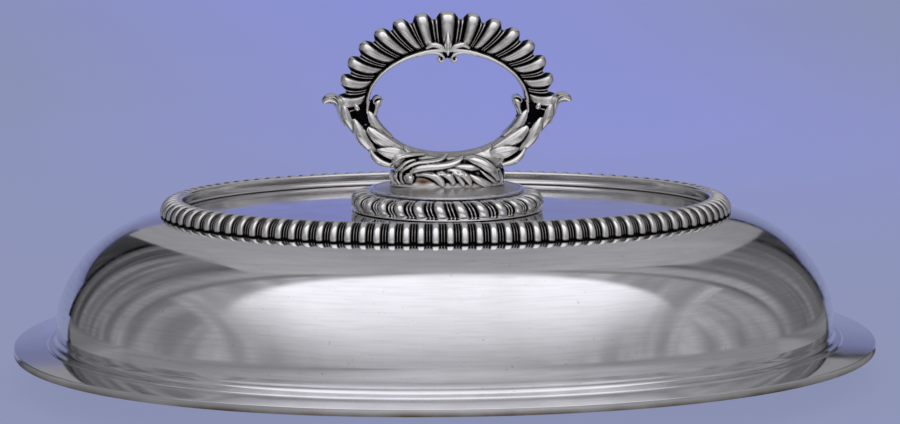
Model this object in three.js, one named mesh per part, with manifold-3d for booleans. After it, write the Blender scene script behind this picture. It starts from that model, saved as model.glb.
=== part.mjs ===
// Covered double vegetable dish in silver plate: a shallow oval dish, a domed cover with an
// oval gadroon border, and a cast handle that a quarter turn locks to the cover.
// Millimetres, +Z up, X along the oval. The origin is under the middle of the dish.
import * as THREE from "three";
import { mergeVertices } from "three/addons/utils/BufferGeometryUtils.js";
import Module from "manifold-3d";

// Sheet, clearances and tools
const sheet = 1.2;
const gap = 0.3;
const overrun = 2;
const mergeDistance = 1e-4;

// Cover flange, turned down all round
const coverLength = 292;
const coverDepth = 221.4;
const outlinePower = 2.11;
const edgeDrop = 2.8;
const edgeRounding = 0.5;
const flangeWidth = 11;
const ledgeWidth = 3;
const ledgeHeight = 0.6;

// Dome, from its tucked-in foot to the flat panel
const domeHeight = 43.3;
const footTuck = 0.9;
const footTuckHeight = 5;

// Gadroon border that stands round the panel
const borderInnerLength = 178.4;
const borderInnerDepth = 123.4;
const borderSeatWidth = 3.2;
const borderWidth = 7.7;
const borderHeight = 4.8;
const borderLobes = 110;
const borderLobeRelief = 1.1;
const borderWallShares = [[0, 0.92], [0.45, 1], [1, 0.38]];
const borderFootShare = 0.86;
const borderCoreShares = [0.42, 0.3];

// Lower dish, which nests inside the turned-down edge
const dishHeight = 12;
const nestClearance = 0.5;
const dishRimWidth = 15;
const dishWallRun = 43;
const dishWallPower = 1.3;

// Bayonet lock under the panel
const studRadius = 3;
const lugLength = 22;
const lugWidth = 5;
const lugThickness = 3;
const lockPlateRadius = 23;
const lockPlateThickness = 1.6;
const panelHoleClearance = 1.5;
const stopRadius = 1.6;
const stopCircleRadius = 8.5;
const rivetRadius = 1.5;
const rivetCircleRadius = 19;
const rivetHeadRadius = 2.7;
const rivetHeadHeight = 1.2;
const rivetCount = 4;

// Handle base: gadroon ring, cap, closing plate and the fixings inside it
const baseRadius = 32.9;
const baseFootRadius = 31;
const baseBoreRadius = 24.5;
const baseRingHeight = 6.2;
const baseLobes = 28;
const baseLobeRelief = 1.2;
const baseLobeSlant = -0.55;
const baseWallShares = [[1, 0.4], [0.845, 0.8], [0.42, 1]];
const baseCoreShares = [0.35, 0.4];
const capRadius = 26.3;
const capThickness = 0.9;
const capStepWidth = 1.6;
const capStepHeight = 0.25;
const capCrownRadius = 19;
const capCrownHeight = 0.6;
const basePlateThickness = 1.2;
const washerRadius = 7;
const washerThickness = 0.6;
const washerDish = 0.5;
const nutAcrossFlats = 11;
const nutHeight = 3;
const studReach = 7.5;

// Cast loop: an oval of acanthus arms below and a shell fan above
const loopCentreHeight = 35.7;
const archWidth = 74;
const archRise = 30.7;
const archPower = 2.15;
const holeWidth = 53.8;
const holeRise = 17.2;
const armSpread = 72.4;
const armDrop = 29.3;
const armPower = 1.6;
const lowerHoleWidth = 45.6;
const lowerHoleDrop = 16.3;
const lowerHolePower = 2.1;
const armThickness = 11;
const armTaperShare = 0.82;
const armLeaves = 3;
const armLeafRelief = 0.7;
const neckHalfAngle = 40;
const neckThickness = 16;
const neckFootWidth = 40;
const neckFootThickness = 20;
const neckFootHeight = 5;
const neckWaistShare = 0.9;
const castPower = 2.4;

// Shell fan on the arch, with a smooth band along the hole
const fanLobes = 15;
const fanLobeRelief = 0.9;
const fanScallop = 1.5;
const fanThickness = 8.4;
const fanProfileShares = [[0, 0.62], [0.07, 1], [0.2, 0.78], [0.5, 0.92], [0.84, 0.74], [1, 0.3]];

// Curled tips, as places on the loop and thicknesses of the arm
const leafTipShares = [[0.9, -0.1, 0.28], [0.98, 0, 0.25], [1.06, 0.065, 0.19], [1.12, 0.06, 0.11]];
const scrollTipShares = [[0.72, -0.1, 0.2], [0.67, -0.01, 0.17], [0.635, 0.045, 0.15], [0.61, 0.035, 0.09]];
const curlShares = [[0.22, 0.553, 0.11], [0.12, 0.535, 0.11], [0.065, 0.5, 0.1], [0.085, 0.475, 0.06]];
const budShares = [[0, 0.5, 0.04], [0, 0.56, 0.11], [0, 0.63, 0.14], [0, 0.72, 0.05]];
const budStandShare = 0.5;
const neckScrollShares = [
  [-0.33, -0.84, 0.17],
  [-0.4, -0.76, 0.18],
  [-0.33, -0.67, 0.2],
  [-0.1, -0.64, 0.2],
  [0.16, -0.72, 0.18],
  [0.37, -0.82, 0.13],
];
const neckScrollStandShare = 0.46;
const tipDepthShare = 1.25;

// How finely the curved pieces are stepped
const ovalSteps = 56;
const domeSteps = 7;
const domeLiningSteps = 5;
const tuckSteps = 2;
const dishWallSteps = 4;
const lobeSteps = 3;
const fanLobeSteps = 4;
const roundSteps = 24;
const pinSteps = 10;
const castSectionSteps = 10;
const tipSectionSteps = 7;
const tipPathSteps = 5;
const armSteps = 9;
const neckSteps = 6;
const lengthSamples = 720;

// Derived heights and outlines
const rimHeight = dishHeight + gap + sheet;
const panelHeight = rimHeight + domeHeight;
const ledgeInset = flangeWidth + ledgeWidth;
const panelLength = borderInnerLength - 2 * borderSeatWidth;
const panelDepth = borderInnerDepth - 2 * borderSeatWidth;
const studHole = studRadius + gap;
const lockPlateTop = -sheet - gap;
const lugTop = lockPlateTop - lockPlateThickness - gap;
const lugBottom = lugTop - lugThickness;
const capBottom = baseRingHeight + gap;
const capTop = capBottom + capThickness + capStepHeight + capCrownHeight;
const neckBottom = capTop + gap;
const studTop = neckBottom + studReach;

const wasm = await Module();
wasm.setup();

// Materials
function silver(name, color, roughness) {
  const material = new THREE.MeshStandardMaterial({ color, roughness, metalness: 1 });
  material.name = name;
  return material;
}
const polished = () => silver("polished silver plate", "#c9cacd", 0.16);
const cast = () => silver("cast silver with dark recesses", "#b9b8b4", 0.28);
const fixing = () => silver("plain nickel silver", "#a9a595", 0.38);

// Turns a closed geometry's faces outwards, judged by the sign of its volume.
function facingOut(geometry) {
  const place = geometry.getAttribute("position");
  const index = geometry.index.array;
  const corners = [new THREE.Vector3(), new THREE.Vector3(), new THREE.Vector3()];
  let volume = 0;
  for (let i = 0; i < index.length; i += 3) {
    corners.forEach((corner, k) => corner.fromBufferAttribute(place, index[i + k]));
    volume += corners[0].dot(corners[1].clone().cross(corners[2]));
  }
  if (volume < 0)
    for (let i = 0; i < index.length; i += 3)
      [index[i + 1], index[i + 2]] = [index[i + 2], index[i + 1]];
  return geometry;
}

// Skins a row of rings of equal count. A row that isn't looped gets a flat fan over each end.
function loft(rings, looped) {
  const count = rings[0].length;
  const points = rings.flat();
  const faces = [];
  const spans = looped ? rings.length : rings.length - 1;
  for (let i = 0; i < spans; i++)
    for (let j = 0; j < count; j++) {
      const here = i * count;
      const next = ((i + 1) % rings.length) * count;
      const k = (j + 1) % count;
      faces.push(here + j, next + j, next + k, here + j, next + k, here + k);
    }
  if (!looped)
    for (const [ring, start, reversed] of [
      [rings[0], 0, false],
      [rings.at(-1), (rings.length - 1) * count, true],
    ]) {
      const middle = ring.reduce((sum, p) => sum.add(p), new THREE.Vector3()).divideScalar(count);
      points.push(middle);
      for (let j = 0; j < count; j++) {
        const k = (j + 1) % count;
        const [a, b] = reversed ? [k, j] : [j, k];
        faces.push(points.length - 1, start + a, start + b);
      }
    }
  const geometry = new THREE.BufferGeometry().setFromPoints(points);
  geometry.setIndex(faces);
  return facingOut(geometry);
}

// The manifold solid of a closed geometry, and the geometry of a solid
function toSolid(geometry) {
  const bare = new THREE.BufferGeometry();
  const loose = geometry.index ? geometry.toNonIndexed() : geometry;
  bare.setAttribute("position", loose.getAttribute("position"));
  const merged = mergeVertices(bare, mergeDistance);
  return new wasm.Manifold(
    new wasm.Mesh({
      numProp: 3,
      vertProperties: merged.getAttribute("position").array,
      triVerts: new Uint32Array(merged.index.array),
    }),
  );
}
function toGeometry(solid) {
  const mesh = solid.getMesh();
  const geometry = new THREE.BufferGeometry();
  geometry.setAttribute("position", new THREE.BufferAttribute(mesh.vertProperties, 3));
  return geometry.setIndex(new THREE.BufferAttribute(mesh.triVerts, 1));
}
const joined = (...parts) => parts.map(toSolid).reduce((sum, part) => sum.add(part));

// Profiles turned and extruded along Z
function turned(profile, steps) {
  const points = profile.map(([r, z]) => new THREE.Vector2(r, z));
  points.push(points[0].clone());
  const geometry = new THREE.LatheGeometry(points, steps).rotateX(Math.PI / 2);
  const bare = new THREE.BufferGeometry().setAttribute("position", geometry.getAttribute("position"));
  return facingOut(mergeVertices(bare.setIndex(geometry.index), mergeDistance));
}
function extruded(shape, bottom, top) {
  const geometry = new THREE.ExtrudeGeometry(shape, {
    depth: top - bottom,
    bevelEnabled: false,
    curveSegments: pinSteps,
  });
  return geometry.translate(0, 0, bottom);
}
function rod(radius, bottom, top, x = 0, y = 0) {
  const geometry = new THREE.CylinderGeometry(radius, radius, top - bottom, roundSteps);
  return geometry.rotateX(Math.PI / 2).translate(x, y, (bottom + top) / 2);
}

// A point of a superellipse, at a turn t from +X
function ovalPoint(halfLength, halfDepth, power, t) {
  const bend = (v) => Math.sign(v) * Math.abs(v) ** (2 / power);
  return [halfLength * bend(Math.cos(t)), halfDepth * bend(Math.sin(t))];
}
function ovalRing({ a, b, z, power }) {
  return Array.from({ length: ovalSteps }, (_, i) => {
    const [x, y] = ovalPoint(a, b, power, (2 * Math.PI * i) / ovalSteps);
    return new THREE.Vector3(x, y, z);
  });
}
const inset = (distance, z) => ({
  a: coverLength / 2 - distance,
  b: coverDepth / 2 - distance,
  z,
  power: outlinePower,
});

// The dome's levels from its foot up to the panel, at a depth below its outer face
function domeLevels(depth, steps) {
  const widest = inset(ledgeInset + depth, rimHeight + footTuckHeight);
  const crown = { a: panelLength / 2, b: panelDepth / 2, z: panelHeight - depth };
  const levels = [];
  for (let i = 0; i < tuckSteps; i++) {
    const low = 1 - i / tuckSteps;
    const z = widest.z - low * (footTuckHeight - ledgeHeight + depth / 2);
    levels.push({ ...widest, a: widest.a - footTuck * low ** 2, b: widest.b - footTuck * low ** 2, z });
  }
  for (let i = 0; i <= steps; i++) {
    const turn = (Math.PI / 2) * (i / steps);
    const out = Math.cos(turn);
    levels.push({
      a: crown.a + (widest.a - crown.a) * out,
      b: crown.b + (widest.b - crown.b) * out,
      z: widest.z + (crown.z - widest.z) * Math.sin(turn),
      power: 2 + (outlinePower - 2) * out,
    });
  }
  return levels;
}

// Cover: flange, ledge, dome and panel raised from one sheet, with the lock's holes through it
function coverShell() {
  const under = rimHeight - sheet;
  const hole = lugLength / 2 + panelHoleClearance;
  const levels = [
    inset(0, rimHeight - edgeDrop),
    inset(0, rimHeight - edgeRounding),
    inset(edgeRounding, rimHeight),
    inset(flangeWidth, rimHeight),
    inset(flangeWidth + ledgeHeight / 2, rimHeight + ledgeHeight),
    ...domeLevels(0, domeSteps),
    { a: hole, b: hole, z: panelHeight, power: 2 },
    { a: hole, b: hole, z: panelHeight - sheet, power: 2 },
    ...domeLevels(sheet, domeLiningSteps).reverse(),
    inset(flangeWidth + ledgeHeight, under + ledgeHeight / 2),
    inset(flangeWidth, under),
    inset(sheet, under),
    inset(sheet, rimHeight - edgeDrop),
  ];
  let solid = toSolid(loft(levels.map(ovalRing), true));
  for (const [x, y] of rivetPlaces()) {
    const drill = rod(rivetRadius + gap, panelHeight - sheet - overrun, panelHeight + overrun, x, y);
    solid = solid.subtract(toSolid(drill));
  }
  return toGeometry(solid);
}

// Dish: a flat rim and a shallow wall that curves down to a flat base
function dishBody() {
  const edge = sheet + nestClearance;
  const wall = (i, lift) => {
    const run = i / dishWallSteps;
    const drop = (1 - (1 - run) ** dishWallPower) ** (1 / dishWallPower);
    return inset(dishRimWidth + run * dishWallRun, lift + (dishHeight - sheet) * (1 - drop));
  };
  const steps = Array.from({ length: dishWallSteps + 1 }, (_, i) => i);
  const levels = [
    ...steps.map((i) => wall(i, 0)).reverse(),
    inset(edge, dishHeight - sheet),
    inset(edge, dishHeight),
    ...steps.map((i) => wall(i, sheet)),
  ];
  return loft(levels.map(ovalRing), false);
}

// Places at equal distances round an ellipse, each with its outward direction
function alongEllipse(halfLength, halfDepth, count) {
  const at = (i) => ovalPoint(halfLength, halfDepth, 2, (2 * Math.PI * i) / lengthSamples);
  const travelled = [0];
  for (let i = 1; i <= lengthSamples; i++) {
    const [x0, y0] = at(i - 1);
    const [x1, y1] = at(i);
    travelled.push(travelled[i - 1] + Math.hypot(x1 - x0, y1 - y0));
  }
  let step = 0;
  return Array.from({ length: count }, (_, k) => {
    const wanted = (travelled.at(-1) * k) / count;
    while (travelled[step + 1] < wanted) step++;
    const part = (wanted - travelled[step]) / (travelled[step + 1] - travelled[step]);
    const [x, y] = at(step + part);
    const out = new THREE.Vector2(x / halfLength ** 2, y / halfDepth ** 2).normalize();
    return { x, y, out };
  });
}

// How far into the groove beside a lobe a step lies: 1 in the groove, 0 on the lobe
const grooveAt = (step, steps) => (step % steps === 0 ? 1 : 0);

// Draws a profile point towards the core of its section, for the groove between two lobes
function grooved([u, v], [coreU, coreV], depth) {
  const reach = Math.hypot(u - coreU, v - coreV);
  const keep = 1 - depth / reach;
  return [coreU + (u - coreU) * keep, coreV + (v - coreV) * keep];
}

// How far the dome has fallen from the panel under the border's outer foot, at its gentlest
function domeFall() {
  const out = borderSeatWidth + borderFootShare * borderWidth;
  const runs = [coverLength - panelLength, coverDepth - panelDepth].map((v) => v / 2 - ledgeInset);
  return (domeHeight - footTuckHeight) * (1 - Math.sqrt(1 - (out / Math.max(...runs)) ** 2));
}

// Border: a half-round moulding, cut into upright lobes, round the edge of the panel
function gadroonBorder() {
  const core = [borderCoreShares[0] * borderWidth, borderCoreShares[1] * borderHeight];
  const places = alongEllipse(borderInnerLength / 2, borderInnerDepth / 2, borderLobes * lobeSteps);
  const rings = places.map(({ x, y, out }, i) => {
    const depth = borderLobeRelief * grooveAt(i, lobeSteps);
    const wall = borderWallShares.map(([u, v], k) => {
      const point = [u * borderWidth, v * borderHeight];
      return k === 0 ? point : grooved(point, core, depth);
    });
    const profile = [[0, gap], ...wall, [borderFootShare * borderWidth, gap - domeFall()]];
    return profile.map(([u, v]) => new THREE.Vector3(x + out.x * u, y + out.y * u, v));
  });
  return loft(rings, true);
}

// Points of an arc about a centre, its last one left out when it closes a circle
function arc(x, y, radius, from, to) {
  const full = to - from === 2 * Math.PI;
  return Array.from({ length: full ? pinSteps : pinSteps + 1 }, (_, i) => {
    const t = from + ((to - from) * i) / pinSteps;
    return new THREE.Vector2(x + radius * Math.cos(t), y + radius * Math.sin(t));
  });
}
const roundHole = (x, y, radius) => new THREE.Path(arc(x, y, radius, 0, 2 * Math.PI));

// Lock plate: its keyhole takes the stud in the middle and the lug at a quarter turn
function lockPlate() {
  const rim = Array.from({ length: roundSteps }, (_, i) => {
    const t = (2 * Math.PI * i) / roundSteps;
    return new THREE.Vector2(lockPlateRadius * Math.cos(t), lockPlateRadius * Math.sin(t));
  });
  const half = lugWidth / 2 + gap;
  const end = lugLength / 2 + 2 * gap;
  const turn = Math.acos(half / studHole);
  const keyhole = [
    ...arc(0, 0, studHole, -turn, turn),
    new THREE.Vector2(half, end),
    new THREE.Vector2(-half, end),
    ...arc(0, 0, studHole, Math.PI - turn, Math.PI + turn),
    new THREE.Vector2(-half, -end),
    new THREE.Vector2(half, -end),
  ];
  const shape = new THREE.Shape(rim);
  shape.holes.push(new THREE.Path(keyhole));
  for (const [x, y] of rivetPlaces()) shape.holes.push(roundHole(x, y, rivetRadius + gap));
  return extruded(shape, lockPlateTop - lockPlateThickness, lockPlateTop);
}

// The two stops touch the lug's sides at the ends of its quarter turn.
function stopPlaces() {
  const turn = Math.asin((lugWidth / 2 + stopRadius + gap) / stopCircleRadius);
  return [-turn, Math.PI / 2 + turn].map((t) => [
    stopCircleRadius * Math.cos(t),
    stopCircleRadius * Math.sin(t),
  ]);
}
function rivetPlaces() {
  return Array.from({ length: rivetCount }, (_, i) => {
    const t = (2 * Math.PI * (i + 1 / 2)) / rivetCount;
    return [rivetCircleRadius * Math.cos(t), rivetCircleRadius * Math.sin(t)];
  });
}
const stopPin = ([x, y]) => rod(stopRadius, lugBottom, lugTop, x, y);

// Rivet: flush with the panel, with a low round head under the lock plate
function rivet([x, y]) {
  const under = lockPlateTop - lockPlateThickness - gap;
  const brow = under - rivetHeadHeight / 2;
  const profile = [
    [0, 0],
    [rivetRadius, 0],
    [rivetRadius, under],
    [rivetHeadRadius, under],
    [rivetHeadRadius, brow],
    [rivetRadius, under - rivetHeadHeight],
    [0, under - rivetHeadHeight],
  ];
  return turned(profile, pinSteps).translate(x, y, 0);
}

// Base ring: a round gadroon moulding whose lobes lean as they climb
function baseRing() {
  const width = baseRadius - baseBoreRadius;
  const core = [baseCoreShares[0] * width, baseCoreShares[1] * baseRingHeight];
  const count = baseLobes * lobeSteps;
  const rings = Array.from({ length: count }, (_, i) => {
    const depth = baseLobeRelief * grooveAt(i, lobeSteps);
    const wall = baseWallShares.map(([u, v]) => grooved([u * width, v * baseRingHeight], core, depth));
    const profile = [[0, gap], [baseFootRadius - baseBoreRadius, gap], ...wall, [0, baseRingHeight]];
    return profile.map(([u, v]) => {
      const lean = (baseLobeSlant * v) / baseRadius;
      const t = (2 * Math.PI * i) / count + lean;
      const r = baseBoreRadius + u;
      return new THREE.Vector3(r * Math.cos(t), r * Math.sin(t), v);
    });
  });
  return loft(rings, true);
}

// Cap: a spun disc with a stepped edge that rises a little to the neck
function baseCap() {
  const step = capBottom + capThickness;
  const top = step + capStepHeight + capCrownHeight;
  const profile = [
    [studHole, top - capThickness],
    [capCrownRadius, top - capThickness],
    [capRadius - 2 * capStepWidth, capBottom],
    [capRadius, capBottom],
    [capRadius, step],
    [capRadius - capStepWidth, step],
    [capRadius - capStepWidth, step + capStepHeight],
    [capCrownRadius, top],
    [studHole, top],
  ];
  return turned(profile, roundSteps);
}
function basePlate() {
  const radius = baseBoreRadius - gap;
  const top = gap + basePlateThickness;
  return turned([[studHole, gap], [radius, gap], [radius, top], [studHole, top]], roundSteps);
}
const washerBottom = 2 * gap + basePlateThickness;
const nutBottom = washerBottom + washerDish + washerThickness + gap;
function springWasher() {
  const low = washerBottom;
  const high = washerBottom + washerDish;
  const profile = [
    [studHole, high],
    [washerRadius, low],
    [washerRadius, low + washerThickness],
    [studHole, high + washerThickness],
  ];
  return turned(profile, roundSteps);
}
function studNut() {
  const reach = nutAcrossFlats / 2 / Math.cos(Math.PI / 6);
  const corners = Array.from({ length: 6 }, (_, i) => {
    const t = (Math.PI * i) / 3;
    return new THREE.Vector2(reach * Math.cos(t), reach * Math.sin(t));
  });
  const shape = new THREE.Shape(corners);
  shape.holes.push(roundHole(0, 0, studHole));
  return extruded(shape, nutBottom, nutBottom + nutHeight);
}

// Stud: a rod up into the neck, with the round-ended lug across its foot
function lockStud() {
  const half = lugLength / 2 - lugWidth / 2;
  const lug = new THREE.Shape([
    ...arc(half, 0, lugWidth / 2, -Math.PI / 2, Math.PI / 2),
    ...arc(-half, 0, lugWidth / 2, Math.PI / 2, (3 * Math.PI) / 2),
  ]);
  return toGeometry(joined(extruded(lug, lugBottom, lugTop), rod(studRadius, lugBottom, studTop)));
}

// The loop's outlines, as distances from its centre at a turn from straight down
function reach(halfWidth, halfHeight, power, turn) {
  const x = Math.abs(Math.sin(turn)) / halfWidth;
  const z = Math.abs(Math.cos(turn)) / halfHeight;
  return (x ** power + z ** power) ** (-1 / power);
}
const degrees = (angle) => (angle * Math.PI) / 180;

// A section across the lower loop, leaf-stepped on its way up the arm
function lowerSection(turn, thickness) {
  const inner = reach(lowerHoleWidth / 2, lowerHoleDrop, lowerHolePower, turn);
  const outer = reach(armSpread / 2, armDrop, armPower, turn);
  return Array.from({ length: castSectionSteps }, (_, i) => {
    const t = (2 * Math.PI * i) / castSectionSteps;
    const [u, v] = ovalPoint((outer - inner) / 2, thickness / 2, castPower, t);
    const r = (inner + outer) / 2 + u;
    return new THREE.Vector3(r * Math.sin(turn), v, loopCentreHeight - r * Math.cos(turn));
  });
}

// A tapering tip that follows a curve in the loop's plane, from rows of place and thickness.
// A grown one cuts the room for it in its neighbour.
function tip(shares, { y = 0, side = 1, grown = 0 } = {}) {
  const places = shares.map(([u, v]) => {
    const x = (side * u * archWidth) / 2;
    return new THREE.Vector3(x, y, loopCentreHeight + v * archRise);
  });
  const curve = new THREE.CatmullRomCurve3(places);
  const radii = shares.map(([, , share]) => share * armThickness + grown);
  const rings = Array.from({ length: tipPathSteps + 1 }, (_, i) => {
    const s = i / tipPathSteps;
    const at = s * (radii.length - 1);
    const low = Math.min(Math.floor(at), radii.length - 2);
    const radius = radii[low] + (radii[low + 1] - radii[low]) * (at - low);
    const centre = curve.getPoint(s);
    const along = curve.getTangent(s);
    const across = new THREE.Vector3(along.z, 0, -along.x);
    return Array.from({ length: tipSectionSteps }, (_, j) => {
      const t = (2 * Math.PI * j) / tipSectionSteps;
      const point = centre.clone().addScaledVector(across, radius * Math.cos(t));
      point.y += radius * tipDepthShare * Math.sin(t);
      return point;
    });
  });
  return loft(rings, false);
}

// Arm: an acanthus branch from the neck to the fan, with its outer leaf and inner scroll
function arm(mirrored) {
  const split = gap / lowerHoleDrop;
  const start = degrees(neckHalfAngle) + split;
  const rings = Array.from({ length: armSteps + 1 }, (_, i) => {
    const s = i / armSteps;
    const leaf = (s * armLeaves) % 1;
    const body = armThickness * (1 - (1 - armTaperShare) * s) + 2 * armLeafRelief * leaf;
    return lowerSection(start + (Math.PI / 2 - start) * s, body);
  });
  const branch = toSolid(loft(rings, false));
  const ends = joined(tip(leafTipShares), tip(scrollTipShares));
  const whole = toGeometry(branch.add(ends));
  return mirrored ? facingOut(whole.rotateZ(Math.PI)) : whole;
}

// Neck: the bottom of the loop on a spreading foot, with an acanthus scroll on each face
function neck() {
  const half = degrees(neckHalfAngle);
  const sections = Array.from({ length: neckSteps + 1 }, (_, i) =>
    lowerSection(half * ((2 * i) / neckSteps - 1), neckThickness),
  );
  const foot = [
    [1, 1, 0],
    [neckWaistShare, neckWaistShare, 1 / 4],
    [neckWaistShare, neckWaistShare, 1],
  ].map(([u, v, w]) =>
    Array.from({ length: roundSteps }, (_, i) => {
      const t = (2 * Math.PI * i) / roundSteps;
      const [x, y] = ovalPoint((u * neckFootWidth) / 2, (v * neckFootThickness) / 2, 2, t);
      return new THREE.Vector3(x, y, neckBottom + w * neckFootHeight);
    }),
  );
  const stand = neckScrollStandShare * neckThickness;
  const front = tip(neckScrollShares, { y: -stand });
  const back = tip(neckScrollShares, { y: -stand }).rotateZ(Math.PI);
  const below = rod(neckFootWidth, neckBottom - armDrop, neckBottom);
  const bore = rod(studHole, neckBottom - overrun, studTop + gap);
  return toGeometry(
    joined(loft(sections, false), loft(foot, false), front, back).subtract(joined(below, bore)),
  );
}

// Fan: radial lobes from the band round the hole to a scalloped edge
function shellArch() {
  const count = fanLobes * fanLobeSteps;
  const rings = Array.from({ length: count + 1 }, (_, i) => {
    const turn = (Math.PI * i) / count;
    const wave = (1 - Math.cos((2 * Math.PI * i) / fanLobeSteps)) / 2;
    const [inX, inZ] = ovalPoint(holeWidth / 2, holeRise, 2, turn);
    const [outX, outZ] = ovalPoint(archWidth / 2, archRise, archPower, turn);
    const trim = (fanScallop * (1 - wave)) / Math.hypot(outX - inX, outZ - inZ);
    const side = fanProfileShares.map(([s, y], k) => {
      const along = s * (1 - trim * s);
      const lobed = k > 1 ? fanLobeRelief * (wave - 1 / 2) : 0;
      return [inX + (outX - inX) * along, (y * fanThickness) / 2 + lobed, inZ + (outZ - inZ) * along];
    });
    const lift = loopCentreHeight + gap;
    const front = side.map(([x, y, z]) => new THREE.Vector3(x, -y, z + lift));
    const back = side.map(([x, y, z]) => new THREE.Vector3(x, y, z + lift)).reverse();
    return [...front, ...back];
  });
  const stand = (budStandShare * fanThickness) / 2;
  const buds = [-stand, stand].map((y) => tip(budShares, { y }));
  const curls = [-1, 1].map((side) => tip(curlShares, { side }));
  const rooms = [-1, 1].flatMap((side) =>
    [leafTipShares, scrollTipShares].map((shares) => tip(shares, { side, grown: gap })),
  );
  return toGeometry(joined(loft(rings, false), ...buds, ...curls).subtract(joined(...rooms)));
}

// One named piece of the assembly
function piece(name, geometry, material) {
  geometry.computeVertexNormals();
  const mesh = new THREE.Mesh(geometry, material);
  mesh.name = name;
  return mesh;
}

const dish = new THREE.Group();
dish.add(piece("dish_body", dishBody(), polished()));

const cover = new THREE.Group();
cover.add(piece("cover_shell", coverShell(), polished()));

// What stands on or hangs under the panel is placed from the panel's upper face.
const panel = new THREE.Group();
panel.position.z = panelHeight;
panel.add(piece("gadroon_border", gadroonBorder(), cast()));
panel.add(piece("lock_plate", lockPlate(), fixing()));
["lock_stop_closed", "lock_stop_open"].forEach((name, i) =>
  panel.add(piece(name, stopPin(stopPlaces()[i]), fixing())),
);
rivetPlaces().forEach((place, i) => panel.add(piece(`lock_rivet_${i + 1}`, rivet(place), fixing())));
cover.add(panel);

const handle = new THREE.Group();
handle.position.z = panelHeight;
handle.add(piece("handle_base_ring", baseRing(), cast()));
handle.add(piece("handle_base_cap", baseCap(), polished()));
handle.add(piece("handle_base_plate", basePlate(), fixing()));
handle.add(piece("spring_washer", springWasher(), fixing()));
handle.add(piece("stud_nut", studNut(), fixing()));
handle.add(piece("lock_stud", lockStud(), fixing()));
handle.add(piece("handle_neck", neck(), cast()));
handle.add(piece("acanthus_arm_right", arm(false), cast()));
handle.add(piece("acanthus_arm_left", arm(true), cast()));
handle.add(piece("shell_arch", shellArch(), cast()));

const group = new THREE.Group();
group.add(dish, cover, handle);

export default group;
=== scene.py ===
# %% [markdown]
# # Covered double vegetable dish
# An oval serving dish in silver plate: a low flanged dish, a domed cover with a cast gadroon border, and
# a cast handle that a quarter turn locks to the cover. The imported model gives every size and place. Each
# step below makes one real piece again as smooth, detailed mesh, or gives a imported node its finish.

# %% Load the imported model
import math

import bmesh
import bpy
import numpy as np
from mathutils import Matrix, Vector


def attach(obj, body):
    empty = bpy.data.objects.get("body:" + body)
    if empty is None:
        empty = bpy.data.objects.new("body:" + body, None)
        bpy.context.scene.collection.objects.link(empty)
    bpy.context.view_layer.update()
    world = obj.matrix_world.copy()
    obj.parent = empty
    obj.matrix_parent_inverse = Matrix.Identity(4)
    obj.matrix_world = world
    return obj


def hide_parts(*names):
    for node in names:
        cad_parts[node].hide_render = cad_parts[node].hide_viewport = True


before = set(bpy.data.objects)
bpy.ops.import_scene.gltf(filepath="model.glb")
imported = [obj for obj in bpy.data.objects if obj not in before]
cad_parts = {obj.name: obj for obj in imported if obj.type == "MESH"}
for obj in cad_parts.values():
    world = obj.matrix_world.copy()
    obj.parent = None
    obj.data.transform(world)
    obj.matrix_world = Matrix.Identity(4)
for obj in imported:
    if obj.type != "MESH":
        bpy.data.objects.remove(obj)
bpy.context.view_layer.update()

print("nodes:", len(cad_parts))

# %% [markdown]
# ## The camera
# A photographer of silver stands back and uses a long lens, so that the oval keeps its shape. The camera
# stands 0.77 m in front of the dish and a little to its left, and looks down on it by about 9 degrees.

# %% Camera
MM = 0.001
camera_place = Vector((-62.7, -764.2, 168.8)) * MM
camera_aim = Vector((1.0, 0.1, 55.4)) * MM

camera_data = bpy.data.cameras.new("long lens")
camera_data.lens = 91.3
camera = bpy.data.objects.new("camera", camera_data)
camera.location = camera_place
camera.rotation_euler = (camera_aim - camera_place).to_track_quat("-Z", "Y").to_euler()
bpy.context.scene.collection.objects.link(camera)
bpy.context.scene.camera = camera
bpy.context.scene.view_settings.view_transform = "Standard"
print("camera to the dish, m:", round(camera_place.length, 3))

# %% [markdown]
# ## Colours and nodes
# Colours are written as on a colour chart, in sRGB hex, and one function turns them to the linear values
# that a renderer works with. Another small function adds a node with its settings and its links, and gives
# back the output that the next node takes, so each material below reads as a list of what makes its look.

# %% Colour and node helpers
def linear(chart):
    channels = [int(chart[i : i + 2], 16) / 255 for i in (0, 2, 4)]
    return [c / 12.92 if c <= 0.04045 else ((c + 0.055) / 1.055) ** 2.4 for c in channels] + [1]


def add_node(tree, kind, sockets=None, take=None, **settings):
    """Add a node with its settings and links; gives its output called take, or else the first one in use"""
    node = tree.nodes.new("ShaderNode" + kind)
    for name, value in settings.items():
        setattr(node, name, value)
    for name, value in (sockets or {}).items():
        socket = node.inputs[name]
        if isinstance(value, bpy.types.NodeSocket):
            tree.links.new(value, socket)
        else:
            socket.default_value = value
    if take:
        return node.outputs[take]
    return next((socket for socket in node.outputs if socket.enabled), None)


def empty_material(name):
    """A new material with no nodes yet, and its tree"""
    material = bpy.data.materials.new(name)
    material.use_nodes = True
    material.node_tree.nodes.clear()
    return material, material.node_tree


print("a mid grey, linear:", [round(c, 3) for c in linear("808080")])

# %% [markdown]
# ## Polished silver plate
# The dome, the flange, the disc and the dish are sheet that was raised, silver plated and buffed. Years of
# wiping leave fine scratches that run round the dish, a soft haze where hands and cloths go, and a warm
# tarnish towards the edge. The reflections make the look, so the metal is nearly a mirror: its roughness
# and a very low bump carry the scratches, and the shape's slight unevenness bends what it reflects. Where
# the attribute "brushed" is set, the buff never reached and the metal stays matt.
# A noise's scale is the number of its grains in a metre: haze comes in patches of 26 mm, unevenness in waves
# of 62 mm and specks of 1.1 mm. The wipes are 0.8 mm apart, which is coarser than real ones so that they show.

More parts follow.
